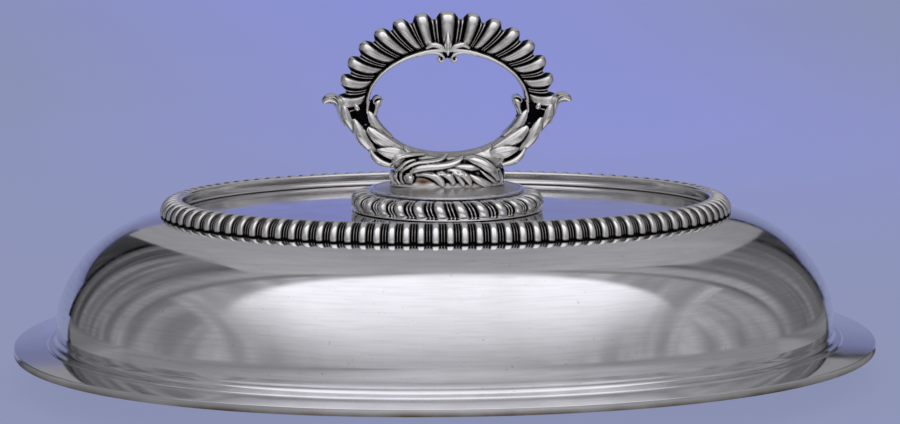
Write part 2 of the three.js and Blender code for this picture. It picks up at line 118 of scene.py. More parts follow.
# %% Polished silver plate
def polished_silver():
    material, tree = empty_material("polished silver plate")
    place = add_node(tree, "TexCoord", take="Object")
    stretched = add_node(tree, "Mapping", {"Vector": place, "Scale": (70, 70, 1250)})
    wipes = add_node(tree, "TexNoise", {"Vector": stretched, "Scale": 1, "Detail": 3})
    haze = add_node(tree, "TexNoise", {"Vector": place, "Scale": 38, "Detail": 4})
    waves = add_node(tree, "TexNoise", {"Vector": place, "Scale": 16, "Detail": 1})
    specks = add_node(tree, "TexNoise", {"Vector": place, "Scale": 900, "Detail": 2})
    worn = add_node(tree, "Attribute", take="Fac", attribute_name="tarnish")
    brushed = add_node(tree, "Attribute", take="Fac", attribute_name="brushed")

    # Roughness: haze and wipes, then the matt and the tarnished parts
    smooth = add_node(
        tree, "MapRange", {"Value": haze, "From Min": 0.35, "From Max": 0.75, "To Min": 0.04, "To Max": 0.17}
    )
    scratched = add_node(
        tree, "MapRange", {"Value": wipes, "From Min": 0.3, "From Max": 0.8, "To Min": -0.01, "To Max": 0.05}
    )
    rough = add_node(tree, "Math", {0: smooth, 1: scratched}, operation="ADD")
    matt = add_node(tree, "Math", {0: brushed, 1: 0.16, 2: rough}, operation="MULTIPLY_ADD")
    dulled = add_node(tree, "Math", {0: worn, 1: 0.25, 2: matt}, operation="MULTIPLY_ADD")

    # Colour: haze, wipes, specks and a ragged tarnish, one over the other
    stained = add_node(tree, "MapRange", {"Value": haze, "From Min": 0.5, "From Max": 0.8, "To Max": 0.5})
    hazed = add_node(tree, "Mix", {"Factor": stained, 6: linear("EDECEE"), 7: linear("D6D4D1")}, data_type="RGBA")
    streak = add_node(tree, "MapRange", {"Value": wipes, "From Min": 0.42, "From Max": 0.7, "To Max": 0.28})
    wiped = add_node(tree, "Mix", {"Factor": streak, 6: hazed, 7: linear("C6C6C9")}, data_type="RGBA")
    speckled = add_node(tree, "MapRange", {"Value": specks, "From Min": 0.69, "From Max": 0.76, "To Max": 0.4})
    spotted = add_node(tree, "Mix", {"Factor": speckled, 6: wiped, 7: linear("A5A19A")}, data_type="RGBA")
    ragged = add_node(tree, "MapRange", {"Value": haze, "From Min": 0.3, "From Max": 0.6, "To Min": 0.45})
    broken = add_node(tree, "Math", {0: worn, 1: ragged}, operation="MULTIPLY")
    colour = add_node(tree, "Mix", {"Factor": broken, 6: spotted, 7: linear("6E6248")}, data_type="RGBA")

    # Bump: the sheet's unevenness under the wipes
    uneven = add_node(tree, "Bump", {"Height": waves, "Strength": 1, "Distance": 0.00012})
    relief = add_node(tree, "Bump", {"Height": wipes, "Strength": 0.18, "Distance": 0.00001, "Normal": uneven})
    metal = {"Base Color": colour, "Metallic": 1, "Roughness": dulled, "Normal": relief}
    add_node(tree, "OutputMaterial", {"Surface": add_node(tree, "BsdfPrincipled", metal)})
    return material


POLISHED = polished_silver()
print(POLISHED.name, len(POLISHED.node_tree.nodes), "nodes")

# %% [markdown]
# ## Cast silver with dark recesses
# The borders and the handle are cast, chased and plated. Polish reaches their crests, leaves the faces greyer
# and never reaches the hollows, which keep a black tarnish. The attribute "recess" says how deep a point lies,
# from 0 on a crest to 1 in a hollow, and two blends turn it into these three tones. They are also painted light
# and shade: the crests carry a painted highlight, and the faces and hollows carry painted shade that darkens
# with depth. The edges between the tones are ragged by patches of 2.4 mm, and the casting's grain is 0.4 mm.
# A little copper shows through where a thumb has rubbed the plate away, marked by the attribute "rubbed".

# %% Cast silver with dark recesses
def cast_silver():
    material, tree = empty_material("cast silver with dark recesses")
    place = add_node(tree, "TexCoord", take="Object")
    depth = add_node(tree, "Attribute", take="Fac", attribute_name="recess")
    rubbed = add_node(tree, "Attribute", take="Fac", attribute_name="rubbed")
    patches = add_node(tree, "TexNoise", {"Vector": place, "Scale": 420, "Detail": 4})
    grain = add_node(tree, "TexNoise", {"Vector": place, "Scale": 2400, "Detail": 2})

    centred = add_node(tree, "Math", {0: patches, 1: 0.5}, operation="SUBTRACT")
    ragged = add_node(tree, "Math", {0: centred, 1: 0.35, 2: depth}, operation="MULTIPLY_ADD")
    # Light crests, grey faces and black hollows: polish and tarnish, together with a painted highlight on the crests
    # and painted shade that deepens into the hollows
    face = add_node(tree, "MapRange", {"Value": ragged, "From Min": 0.12, "From Max": 0.38})
    hollow = {"Value": ragged, "From Min": 0.46, "From Max": 0.72}
    hollow_tarnish_and_shade = add_node(tree, "MapRange", hollow, interpolation_type="SMOOTHSTEP")
    crest_highlight_and_face_shade = add_node(tree, "Mix", {"Factor": face, 6: linear("F4F2EF"), 7: linear("AEABA4")}, data_type="RGBA")
    bare = add_node(tree, "Mix", {"Factor": rubbed, 6: crest_highlight_and_face_shade, 7: linear("673722")}, data_type="RGBA")
    colour = add_node(tree, "Mix", {"Factor": hollow_tarnish_and_shade, 6: bare, 7: linear("0E0F14")}, data_type="RGBA")
    polish = add_node(tree, "MapRange", {"Value": face, "To Min": 0.14, "To Max": 0.27})
    rough = add_node(tree, "Math", {0: hollow_tarnish_and_shade, 1: 0.3, 2: polish}, operation="MULTIPLY_ADD")
    relief = add_node(tree, "Bump", {"Height": grain, "Strength": 0.3, "Distance": 0.00004})
    metal = {"Base Color": colour, "Metallic": 1, "Roughness": rough, "Normal": relief}
    add_node(tree, "OutputMaterial", {"Surface": add_node(tree, "BsdfPrincipled", metal)})
    return material


CAST = cast_silver()
print(CAST.name, len(CAST.node_tree.nodes), "nodes")

# %% [markdown]
# ## Plain nickel silver
# The lock and its fixings sit inside the base and under the panel, and were never plated. Nickel silver
# there is a dull yellowish grey, with file marks about 0.3 mm apart and brown blotches of 6 mm.

# %% Plain nickel silver
def nickel_silver():
    material, tree = empty_material("plain nickel silver")
    place = add_node(tree, "TexCoord", take="Object")
    filed = add_node(tree, "Mapping", {"Vector": place, "Scale": (3300, 120, 900)})
    marks = add_node(tree, "TexNoise", {"Vector": filed, "Scale": 1, "Detail": 2})
    blotches = add_node(tree, "TexNoise", {"Vector": place, "Scale": 160, "Detail": 4})
    browned = add_node(tree, "MapRange", {"Value": blotches, "From Min": 0.45, "From Max": 0.8, "To Max": 0.7})
    colour = add_node(tree, "Mix", {"Factor": browned, 6: linear("B5B09E"), 7: linear("7A6B50")}, data_type="RGBA")
    rough = add_node(
        tree, "MapRange", {"Value": marks, "From Min": 0.3, "From Max": 0.7, "To Min": 0.28, "To Max": 0.5}
    )
    relief = add_node(tree, "Bump", {"Height": marks, "Strength": 0.4, "Distance": 0.00003})
    metal = {"Base Color": colour, "Metallic": 1, "Roughness": rough, "Normal": relief}
    add_node(tree, "OutputMaterial", {"Surface": add_node(tree, "BsdfPrincipled", metal)})
    return material


NICKEL = nickel_silver()
print(NICKEL.name, len(NICKEL.node_tree.nodes), "nodes")

# %% [markdown]
# ## Finishing a piece
# Each new piece ends the same way: its normals are made to face out, it rides on the body that carries it,
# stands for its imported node, and takes that node's slot and the material that belongs to the slot.
#
# To find the hollows of a casting, a copy of its points is smoothed again and again. Where the smooth copy
# lies outside the real surface, the point is in a hollow. Where it lies inside, the point is on a crest.

# %% Finishing helpers
SLOT_FINISHES = {"polished_silver": POLISHED, "cast_silver": CAST, "nickel_silver": NICKEL}


def finish_piece(bm, name, body, node, slot):
    bmesh.ops.recalc_face_normals(bm, faces=bm.faces[:])
    mesh = bpy.data.meshes.new(name)
    bm.to_mesh(mesh)
    bm.free()
    mesh.polygons.foreach_set("use_smooth", [True] * len(mesh.polygons))
    mesh.materials.append(SLOT_FINISHES[slot])
    piece = bpy.data.objects.new(name, mesh)
    bpy.context.scene.collection.objects.link(piece)
    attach(piece, body)
    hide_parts(node)
    print(name, "faces:", len(mesh.polygons))
    return piece


def mark(piece, attribute, values):
    """Give each point of a piece its value of an attribute that a material reads"""
    layer = piece.data.attributes.new(attribute, "FLOAT", "POINT")
    layer.data.foreach_set("value", values)
    print(piece.name, attribute, "at 10, 50 and 90%:", np.percentile(values, (10, 50, 90)).round(2))


def clamp(value):
    return max(0.0, min(1.0, value))


# %% Measuring helpers
def read_mesh(mesh):
    """Places in mm, outward directions and edges of a mesh"""
    places = np.empty(3 * len(mesh.vertices))
    mesh.vertices.foreach_get("co", places)
    outward = np.empty(3 * len(mesh.vertices))
    mesh.vertex_normals.foreach_get("vector", outward)
    ends = np.empty(2 * len(mesh.edges), int)
    mesh.edges.foreach_get("vertices", ends)
    return places.reshape(-1, 3) / MM, outward.reshape(-1, 3), ends.reshape(-1, 2)


def sunk_below(mesh, passes=60):
    """How far each point lies below the smoothed surface, in mm"""
    places, outward, ends = read_mesh(mesh)
    count = len(places)
    a, b = ends[:, 0], ends[:, 1]
    links = np.bincount(a, minlength=count) + np.bincount(b, minlength=count)
    smooth = places.copy()
    for _ in range(passes):
        for axis in range(3):
            line = smooth[:, axis]
            around = np.bincount(a, line[b], count) + np.bincount(b, line[a], count)
            smooth[:, axis] = 0.5 * line + 0.5 * around / links
    return ((smooth - places) * outward).sum(axis=1)


print("half of 1.5, held between 0 and 1:", clamp(1.5) / 2)

# %% [markdown]
# ## The cover
# The cover is one sheet, raised to an oval dome with a flat panel on top and a flange whose edge is turned
# down. A ring of edges starts as a circle, takes the oval's outline, and is extruded from level to level
# up the outside and back down the inside. The oval is an ellipse with slightly fuller quarters. A bevel
# then rounds the creases, which gives each one the thin bright line that bent sheet shows. At its foot the
# dome turns into the ledge through a small fillet, and that is the brightest line along the front.

# %% Oval shells
def oval_point(level, turn):
    half_length, half_depth, fullness, height = level
    out = 1 + fullness * math.sin(2 * turn) ** 2
    return Vector((half_length * out * math.cos(turn), half_depth * out * math.sin(turn), height)) * MM


def move_ring(verts, old, new):
    """Move a ring of points from one level to another"""
    for v in verts:
        v.co = oval_point(new, math.atan2(v.co.y / old[1], v.co.x / old[0]))


def raise_shell(levels, creases, crease_radius, around=320):
    """A closed shell through levels of half length, half depth, fullness and height, in mm"""
    bm = bmesh.new()
    ring = bmesh.ops.create_circle(bm, segments=around, radius=1)["verts"]
    move_ring(ring, (1, 1, 0, 0), levels[0])
    edges = list(bm.edges)
    rings = [edges]
    for old, new in zip(levels, levels[1:]):
        grown = bmesh.ops.extrude_edge_only(bm, edges=edges)["geom"]
        move_ring([g for g in grown if isinstance(g, bmesh.types.BMVert)], old, new)
        edges = [g for g in grown if isinstance(g, bmesh.types.BMEdge) and g.is_boundary]
        rings.append(edges)
    bmesh.ops.bridge_loops(bm, edges=rings[0] + rings[-1])
    bent = [edge for i in creases for edge in rings[i]]
    bmesh.ops.bevel(
        bm,
        geom=bent,
        offset=crease_radius * MM,
        offset_type="OFFSET",
        segments=3,
        profile=0.5,
        affect="EDGES",
        material=-1,
        clamp_overlap=True,
    )
    return bm


FULLNESS = 0.0182
half_length, half_depth, rim_height = 146.0, 110.7, 13.5


def inset(distance, height):
    """A level at a distance inside the rim's outline"""
    return (half_length - distance, half_depth - distance, FULLNESS, height)


print("oval quarter point, mm:", [round(v / MM, 1) for v in oval_point(inset(0, 0), math.pi / 4)])

# %% Cover levels
sheet, edge_drop, flange_width, ledge_width, ledge_height = 1.2, 2.8, 11.0, 3.0, 0.6
foot_tuck, foot_height, panel_height = 0.9, 5.0, 56.8
panel_half_length, panel_half_depth, panel_hole = 86.0, 58.5, 12.5
fillet_start, fillet_run, fillet_rise, fillet_steps, foot_steps = 12.7, 2.05, 2.3, 5, 4
flange_fall, crease_radius = 0.25, 0.3


def dome(depth, steps):
    """Levels from the dome's foot to its panel, at a depth under the outer face"""
    widest = inset(flange_width + ledge_width + depth, rim_height + foot_height)
    ledge = rim_height + ledge_height - depth / 2
    levels = []
    for i in range(fillet_steps):
        turn = math.pi / 2 * i / fillet_steps
        inwards = fillet_start + depth + fillet_run * math.sin(turn)
        levels.append(inset(inwards, ledge + fillet_rise * (1 - math.cos(turn))))
    for i in range(2, foot_steps):
        low = 1 - i / foot_steps
        tuck = foot_tuck * low**2
        fall = low * (foot_height - ledge_height + depth / 2)
        levels.append((widest[0] - tuck, widest[1] - tuck, FULLNESS, widest[3] - fall))
    for i in range(steps + 1):
        turn = math.pi / 2 * i / steps
        out = math.cos(turn)
        levels.append(
            (
                panel_half_length + (widest[0] - panel_half_length) * out,
                panel_half_depth + (widest[1] - panel_half_depth) * out,
                FULLNESS * out,
                widest[3] + (panel_height - depth - widest[3]) * math.sin(turn),
            )
        )
    return levels


outside = [
    inset(0, rim_height - edge_drop),
    inset(0, rim_height - flange_fall),
    inset(flange_width, rim_height),
    inset(flange_width + 0.5 * ledge_height, rim_height + ledge_height),
    *dome(0, 26),
    (60, 44, 0, panel_height),
    (30, 26, 0, panel_height),
    (panel_hole, panel_hole, 0, panel_height),
]
inside = [
    (panel_hole, panel_hole, 0, panel_height - sheet),
    (40, 32, 0, panel_height - sheet),
    *reversed(dome(sheet, 16)),
    inset(flange_width + ledge_height, rim_height - sheet + 0.5 * ledge_height),
    inset(flange_width, rim_height - sheet),
    inset(sheet, rim_height - flange_fall - sheet),
    inset(sheet, rim_height - edge_drop),
]
cover_bm = raise_shell(outside + inside, [0, 1, 2, 3, 4, -1], crease_radius)
cover = finish_piece(cover_bm, "raised_cover", "cover", "cover_shell", "polished_silver")

# %% [markdown]
# The plate wears thin and tarnishes at the turned-down edge, where it is handled and set down. The
# attribute "tarnish" marks it, from 0 half a millimetre under the rim to 1 low on the edge.

# %% Tarnish at an edge
wear_reach, wear_start, wear_fade = 0.98, 0.5, 0.7


def edge_wear(p):
    out = math.hypot(p.x / half_length, p.y / half_depth)
    return clamp((rim_height - wear_start - p.z) / wear_fade) if out > wear_reach else 0.0


mark(cover, "tarnish", [edge_wear(v.co / MM) for v in cover.data.vertices])

# %% [markdown]
# ## The lower dish
# The dish is one sheet too: a flat rim that nests inside the cover's edge, a shallow wall that curves down,
# and a flat base. It is raised in the same way, and its two middles are closed.

# %% Lower dish
dish_height, nest, dish_rim, wall_run, wall_power, wall_steps = 12.0, 0.5, 15.0, 43.0, 1.3, 14
dull_reach, dull_rim = 0.97, 0.6


def dish_wall(lift):
    """Levels from the rim to the base, over or under the sheet"""
    levels = []
    for i in range(wall_steps + 1):
        run = i / wall_steps
        drop = (1 - (1 - run) ** wall_power) ** (1 / wall_power)
        levels.append(inset(dish_rim + run * wall_run, lift + (dish_height - sheet) * (1 - drop)))
    return levels


middle = (2.0, 1.5, 0)
dish_levels = [
    (*middle, 0.0),
    *reversed(dish_wall(0)),
    inset(sheet + nest, dish_height - sheet),
    inset(sheet + nest, dish_height),
    *dish_wall(sheet),
    (*middle, sheet),
]
dish_bm = raise_shell(dish_levels, [wall_steps + 2, wall_steps + 3], crease_radius)
dish = finish_piece(dish_bm, "raised_dish", "dish", "dish_body", "polished_silver")
dish_reach = [math.hypot(v.co.x / half_length, v.co.y / half_depth) / MM for v in dish.data.vertices]
mark(dish, "tarnish", [dull_rim if reach > dull_reach else 0.0 for reach in dish_reach])

# %% [markdown]
# ## Gadroon mouldings
# A gadroon is a row of plump lobes. Between two of them lies a black channel with two bright reeds, as the
# chaser left it; the channel's black is partly tarnish and partly painted shade, and the lobes' flanks are
# painted greyer towards it as painted shade. The moulding's section is spun round a circle in six steps a
# lobe, and cuts across these give the steps that the pattern needs. Each point is then drawn in towards the
# core of the section by as much as the pattern says. The border's circle is last laid along the oval, with
# lobes of one width.
# Each row of a section holds how far a point lies out and up, in mm, and its share of the relief.

# %% One lobe and one channel
# The last number of a row is its recess, which the cast silver paints: black in the channel as tarnish and painted
# shade, lighter on the reeds and the crest, and greyer on the flanks as painted shade
border_reeds = [(0, 0.05, 1), (0.19, 0.05, 1), (0.29, 0.36, 0.62), (0.385, 0.42, 0.36), (0.48, 0.36, 0.62),
                (0.58, 0.05, 1), (0.73, 0, 1), (0.87, 0.18, 1)]
ring_reeds = [(0, 0.1, 0.95), (0.19, 0.1, 0.95), (0.29, 0.42, 0.3), (0.385, 0.46, 0.05), (0.48, 0.42, 0.3),
              (0.58, 0.1, 0.95), (0.73, 0, 1), (0.87, 0.18, 1)]
border_flank = [(0, 0.5, 0.6), (0.14, 0.78, 0.26), (0.34, 0.92, 0.1), (0.66, 0.99, 0.04), (1, 1, 0.02)]
ring_flank = [(0, 0.32, 0.85), (0.14, 0.58, 0.45), (0.34, 0.79, 0.18), (0.66, 0.95, 0.06), (1, 1, 0.03)]


def lobe_pattern(channel, reeds, flank):
    """Rows of phase, rise and recess for half a channel, a lobe and the other half"""
    half = [(channel * at, rise, recess) for at, rise, recess in reeds]
    half += [(channel + (0.5 - channel) * at, rise, recess) for at, rise, recess in flank]
    return half + [(1 - at, rise, recess) for at, rise, recess in half[-2:0:-1]]


border_pattern = lobe_pattern(0.25, border_reeds, border_flank)
ring_pattern = lobe_pattern(0.235, ring_reeds, ring_flank)
print("steps in a lobe:", len(border_pattern))

# %% Spin and carve a moulding
MERGE, spun_steps, recess_gain, shadow_slope = 0.0005, 6, 1.5, 2


def goes_round(a, b):
    """Whether an edge between two points runs along the moulding"""
    return abs(a.co.z - b.co.z) + abs(a.co.length - b.co.length) < 0.001 * MM


def spin_moulding(section, radius, count, pattern, core, relief, lay, hem):
    """Spin a section and carve count lobes into it; what lies below the hem is painted dark as a painted shadow"""
    bm = bmesh.new()
    depth = bm.verts.layers.float.new("recess")
    corners = [bm.verts.new(((radius + out) * MM, 0, up * MM)) for out, up, _ in section]
    edges = [bm.edges.new(pair) for pair in zip(corners, corners[1:] + corners[:1])]
    steps = count * len(pattern)
    bmesh.ops.spin(
        bm,
        geom=corners + edges,
        cent=(0, 0, 0),
        axis=(0, 0, 1),
        angle=2 * math.pi,
        steps=spun_steps * count,
        use_merge=True,
    )
    bmesh.ops.remove_doubles(bm, verts=bm.verts[:], dist=MERGE * MM)
    around = [e for e in bm.edges if goes_round(*e.verts)]
    bmesh.ops.subdivide_edges(bm, edges=around, cuts=len(pattern) // spun_steps - 1)
    for v in bm.verts:
        step = round(math.atan2(v.co.y, v.co.x) / (2 * math.pi) * steps) % steps
        lobe, place = divmod(step, len(pattern))
        phase, rise, recess = pattern[place]
        out = math.hypot(v.co.x, v.co.y) / MM - radius
        up = v.co.z / MM
        out, up, share = min(section, key=lambda row: abs(row[0] - out) + abs(row[1] - up))
        away = math.hypot(out - core[0], up - core[1])
        keep = 1 - relief * (1 - rise) * share / away
        out, up = core[0] + (out - core[0]) * keep, core[1] + (up - core[1]) * keep
        # The darker of two values: the pattern's recess, which is partly tarnish and partly painted shade, and the
        # painted shadow below the hem
        v[depth] = max(recess * min(1, recess_gain * share), clamp(shadow_slope * (hem - up)))
        v.co = lay((lobe + phase) / count, out, up)
    return bm


print("cuts between two spun steps:", len(border_pattern) // spun_steps - 1)

# %% Border round the panel
border_section = [
    (0.0, 0.3, 0), (0.0, 2.0, 0), (0.0, 3.7, 0), (0.12, 4.15, 0), (0.45, 4.45, 0), (0.9, 4.55, 0.05),
    (1.4, 4.68, 0.5), (2.2, 4.78, 1), (3.4, 4.72, 1), (4.6, 4.4, 1), (5.6, 3.85, 1), (6.4, 3.15, 1),
    (7.0, 2.35, 1), (7.4, 1.5, 1), (7.6, 0.6, 1), (7.65, -0.2, 1), (7.5, -0.8, 0.7), (7.1, -1.05, 0.2),
    (6.3, -0.95, 0),
]
border_half_length, border_half_depth, border_lobes = 89.2, 61.7, 110
# Below its shadow line the border's skirt is painted dark, as a painted shadow under the border
border_core, border_relief, border_shadow_line, border_width = (3.0, 0.6), 1.2, -0.2, 7.7
skirt_fall, skirt_top = 0.45, 0.6
turns = np.linspace(0, 2 * math.pi, 7201)
paces = np.hypot(np.diff(border_half_length * np.cos(turns)), np.diff(border_half_depth * np.sin(turns)))
travelled = np.concatenate([[0], np.cumsum(paces)])
print("border, mm:", round(float(travelled[-1]), 1), "lobe pitch:", round(float(travelled[-1]) / border_lobes, 2))


def lay_on_oval(share, out, up):
    """Place on the oval; the skirt falls with the dome, which is steeper at the sides"""
    turn = float(np.interp(share * travelled[-1], travelled, turns))
    x, y = border_half_length * math.cos(turn), border_half_depth * math.sin(turn)
    away = Vector((x / border_half_length**2, y / border_half_depth**2)).normalized()
    fall = skirt_fall * math.sin(turn) ** 2 * max(0, skirt_top - up) * max(0, out) / border_width
    return Vector((x + away.x * out, y + away.y * out, panel_height + up - fall)) * MM


border_bm = spin_moulding(
    border_section, 100, border_lobes, border_pattern, border_core, border_relief, lay_on_oval, border_shadow_line
)
finish_piece(border_bm, "gadroon_oval_border", "cover", "gadroon_border", "cast_silver")

# %% Round ring under the handle
ring_section = [
    (0.0, 0.3, 0), (8.1, 0.3, 0), (8.2, 0.45, 0), (8.1, 0.62, 0), (7.0, 0.78, 0), (7.1, 0.98, 0.5),
    (7.75, 1.5, 1), (8.2, 2.3, 1), (8.3, 3.2, 1), (8.0, 4.1, 1), (7.3, 4.95, 1), (6.2, 5.6, 1),
    (5.0, 6.0, 1), (3.8, 6.15, 0.8), (2.8, 6.15, 0.3), (1.9, 6.1, 0), (0.0, 6.05, 0),
]
ring_bore, ring_height, ring_lobes, ring_lean = 24.5, 6.2, 28, -0.075
ring_core, ring_relief, ring_shadow_line = (3.2, 2.4), 1.7, -9.0


def lay_on_circle(share, out, up):
    """Place on the circle, with lobes that lean as they rise"""
    turn = 2 * math.pi * share + ring_lean * up / ring_height
    radius = ring_bore + out
    return Vector((radius * math.cos(turn), radius * math.sin(turn), panel_height + up)) * MM


ring_bm = spin_moulding(
    ring_section, ring_bore, ring_lobes, ring_pattern, ring_core, ring_relief, lay_on_circle, ring_shadow_line
)
finish_piece(ring_bm, "gadroon_base_ring", "handle", "handle_base_ring", "cast_silver")

# %% [markdown]
# ## The disc on the ring
# The disc is spun sheet with a stepped edge. Its section is spun once round and its creases are bevelled,
# which gives the two thin bright lines and the dark one that the edge shows. Inside the step it is matt.

# %% Disc
disc_section = [
    (3.3, 7.2), (19.0, 7.0), (23.0, 6.5), (26.3, 6.5), (26.3, 6.95), (25.9, 7.15), (25.0, 7.3), (24.75, 7.0),
    (24.4, 6.95), (24.15, 7.15), (22.5, 7.33), (20.5, 7.55), (18.0, 7.78), (14.0, 8.08), (10.0, 8.22), (3.3, 8.25),
]


def turned(section, lift, steps, closed=True):
    """Spin a section of radius and height, in mm; one that isn't closed ends on the axis"""
    bm = bmesh.new()
    corners = [bm.verts.new((r * MM, 0, (lift + z) * MM)) for r, z in section]
    edges = [bm.edges.new(pair) for pair in zip(corners, corners[1:] + corners[:1] * closed)]
    bmesh.ops.spin(
        bm, geom=corners + edges, cent=(0, 0, 0), axis=(0, 0, 1), angle=2 * math.pi, steps=steps, use_merge=True
    )
    bmesh.ops.remove_doubles(bm, verts=bm.verts[:], dist=MERGE * MM)
    return bm


sharp_angle, disc_crease, matt_reach = 0.35, 0.1, 24.0
dark_step, step_tarnish = (24.1, 24.4, 24.8, 25.1), (0.38, 0.5, 0.5, 0)
disc_bm = turned(disc_section, panel_height, 160)
sharp = [e for e in disc_bm.edges if len(e.link_faces) == 2 and e.calc_face_angle() > sharp_angle]
bmesh.ops.bevel(
    disc_bm,
    geom=sharp,
    offset=disc_crease * MM,
    offset_type="OFFSET",
    segments=2,
    profile=0.5,
    affect="EDGES",
    material=-1,
)
disc = finish_piece(disc_bm, "stepped_disc", "handle", "handle_base_cap", "polished_silver")
disc_reach = [math.hypot(*v.co.xy) / MM for v in disc.data.vertices]
mark(disc, "tarnish", np.interp(disc_reach, dark_step, step_tarnish))
mark(disc, "brushed", [float(reach < matt_reach) for reach in disc_reach])

# %% [markdown]
# ## Leaves, scrolls and cords
# The cast handle is a loop: two acanthus arms and a scrolled neck below, a shell fan above. Its leaves,
# scrolls and cords all come from one closed form, a sphere whose poles become the two ends. Each ring of
# the sphere is laid across a path that is drawn in the loop's plane as rows of x, z, half width and rise,
# in mm from the loop's centre. A leaf lies on the face that carries it, and a cord has no face and is round.

# %% Leaf and cord helper
loop_centre, pace, leaf_root = 92.5, 0.01, 0.8


def flow(rows, share):
    """A smooth path through rows of numbers, at a share of its length"""
    at = share * (len(rows) - 1)
    i = min(int(at), len(rows) - 2)
    t = at - i
    p1, p2 = rows[i], rows[i + 1]
    p0 = rows[i - 1] if i > 0 else 2 * p1 - p2
    p3 = rows[i + 2] if i + 2 < len(rows) else 2 * p2 - p1
    return 0.5 * (2 * p1 + (p2 - p0) * t + (2 * p0 - 5 * p1 + 4 * p2 - p3) * t**2 + (3 * p1 - p0 - 3 * p2 + p3) * t**3)


def add_leaf(
    bm, rows, face=None, front=-1, mirror=1, rib=0.0, across=16, along=24, flatness=0.8, lift=1.0, widen=1.0
):
    """Lay a sphere along a path: on a face of the loop at front -1 or 1, or else round the loop's plane"""
    table = np.array(rows, float) * (mirror, 1, widen, lift)
    for v in bmesh.ops.create_uvsphere(bm, u_segments=across, v_segments=along, radius=1)["verts"]:
        share = math.acos(min(1.0, max(-1.0, v.co.z))) / math.pi
        girth = math.hypot(v.co.x, v.co.y)
        side, up = (v.co.x / girth, v.co.y / girth) if girth > 1e-5 else (0.0, 0.0)
        x, z, half, rise = flow(table, share)
        ahead, behind = flow(table, min(1, share + pace)), flow(table, max(0, share - pace))
        path = Vector((ahead[0] - behind[0], ahead[1] - behind[1])).normalized()
        side = math.copysign(abs(side) ** flatness, side)
        up = math.copysign(abs(up) ** flatness, up)
        x, z = x - path.y * half * side, z + path.x * half * side
        rise += rib * max(0, 1 - 3 * abs(side))
        y = rise * up if face is None else front * (face(x, z) + rise * max(up, 0) + leaf_root * min(up, 0))
        v.co = Vector((x, y, loop_centre + z)) * MM


print("a third along a path:", flow(np.array([[0.0, 0], [1, 1], [2, 0]]), 1 / 3))

# %% The lower loop's outline
inner_oval, outer_oval = (22.8, 16.3, 2.1), (36.2, 29.3, 1.6)


def oval_reach(half_width, half_height, power, turn):
    """Distance from the centre to a fuller or leaner oval, at a turn from straight down"""
    x, z = abs(math.sin(turn)) / half_width, abs(math.cos(turn)) / half_height
    return (x**power + z**power) ** (-1 / power)


def lower_band(turn):
    """Inner and outer distance of the lower loop from its centre"""
    return oval_reach(*inner_oval, turn), oval_reach(*outer_oval, turn)


def lower_rows(start, end, stops, count=18):
    """A path down the band's middle; a stop is a turn with its half depth and its inner and outer trims"""
    at, *measures = zip(*stops)
    rows = []
    for i in range(count):
        degrees = start + (end - start) * i / (count - 1)
        turn = math.radians(degrees)
        depth, inner_trim, outer_trim = (float(np.interp(abs(degrees), at, column)) for column in measures)
        inner, outer = lower_band(turn)
        inner, outer = inner + inner_trim, outer - outer_trim
        middle = (inner + outer) / 2
        rows.append((middle * math.sin(turn), -middle * math.cos(turn), (outer - inner) / 2, depth))
    return rows


sides = [round(v, 1) for v in lower_band(math.pi / 2)]
print("band below, mm:", [round(v, 1) for v in lower_band(0)], "at the side:", sides)

# %% [markdown]
# ## Melting the leaves into a casting
# In a real casting, the leaves grow out of the body with small fillets between them. The closed forms of
# one piece overlap, so a voxel remesh at 0.2 mm turns them into one skin, and a light smoothing takes
# the steps off it. Only then are its hollows measured, because they follow from the finished surface.

# %% Cast one piece
voxel, level_recess, full_depth = 0.2, 0.33, 0.46


def cast_piece(bm, name, node, hollow=None):
    """Melt the forms of one casting together and mark its hollows for painted shade; hollow darkens points by their
    place
    """
    bmesh.ops.recalc_face_normals(bm, faces=bm.faces[:])
    mesh = bpy.data.meshes.new(name + "_pattern")
    bm.to_mesh(mesh)
    bm.free()
    pattern = bpy.data.objects.new(name + "_pattern", mesh)
    bpy.context.scene.collection.objects.link(pattern)
    skin = pattern.modifiers.new("melt", "REMESH")
    skin.mode = "VOXEL"
    skin.voxel_size = 1 * voxel * MM
    evaluated = pattern.evaluated_get(bpy.context.evaluated_depsgraph_get())
    melted = bmesh.new()
    melted.from_mesh(evaluated.to_mesh())
    evaluated.to_mesh_clear()
    bpy.data.objects.remove(pattern)
    bmesh.ops.smooth_vert(
        melted, verts=melted.verts[:], factor=0.5, use_axis_x=True, use_axis_y=True, use_axis_z=True
    )
    piece = finish_piece(melted, name, "handle", node, "cast_silver")
    # Sunk points get a higher recess, which the cast silver paints darker: tarnish and painted shade
    recess = np.clip(level_recess + sunk_below(piece.data) / full_depth, 0, 1)
    if hollow:
        recess = np.maximum(recess, [hollow(v.co / MM) for v in piece.data.vertices])
    mark(piece, "recess", recess)
    return piece


print("voxel, mm:", voxel)
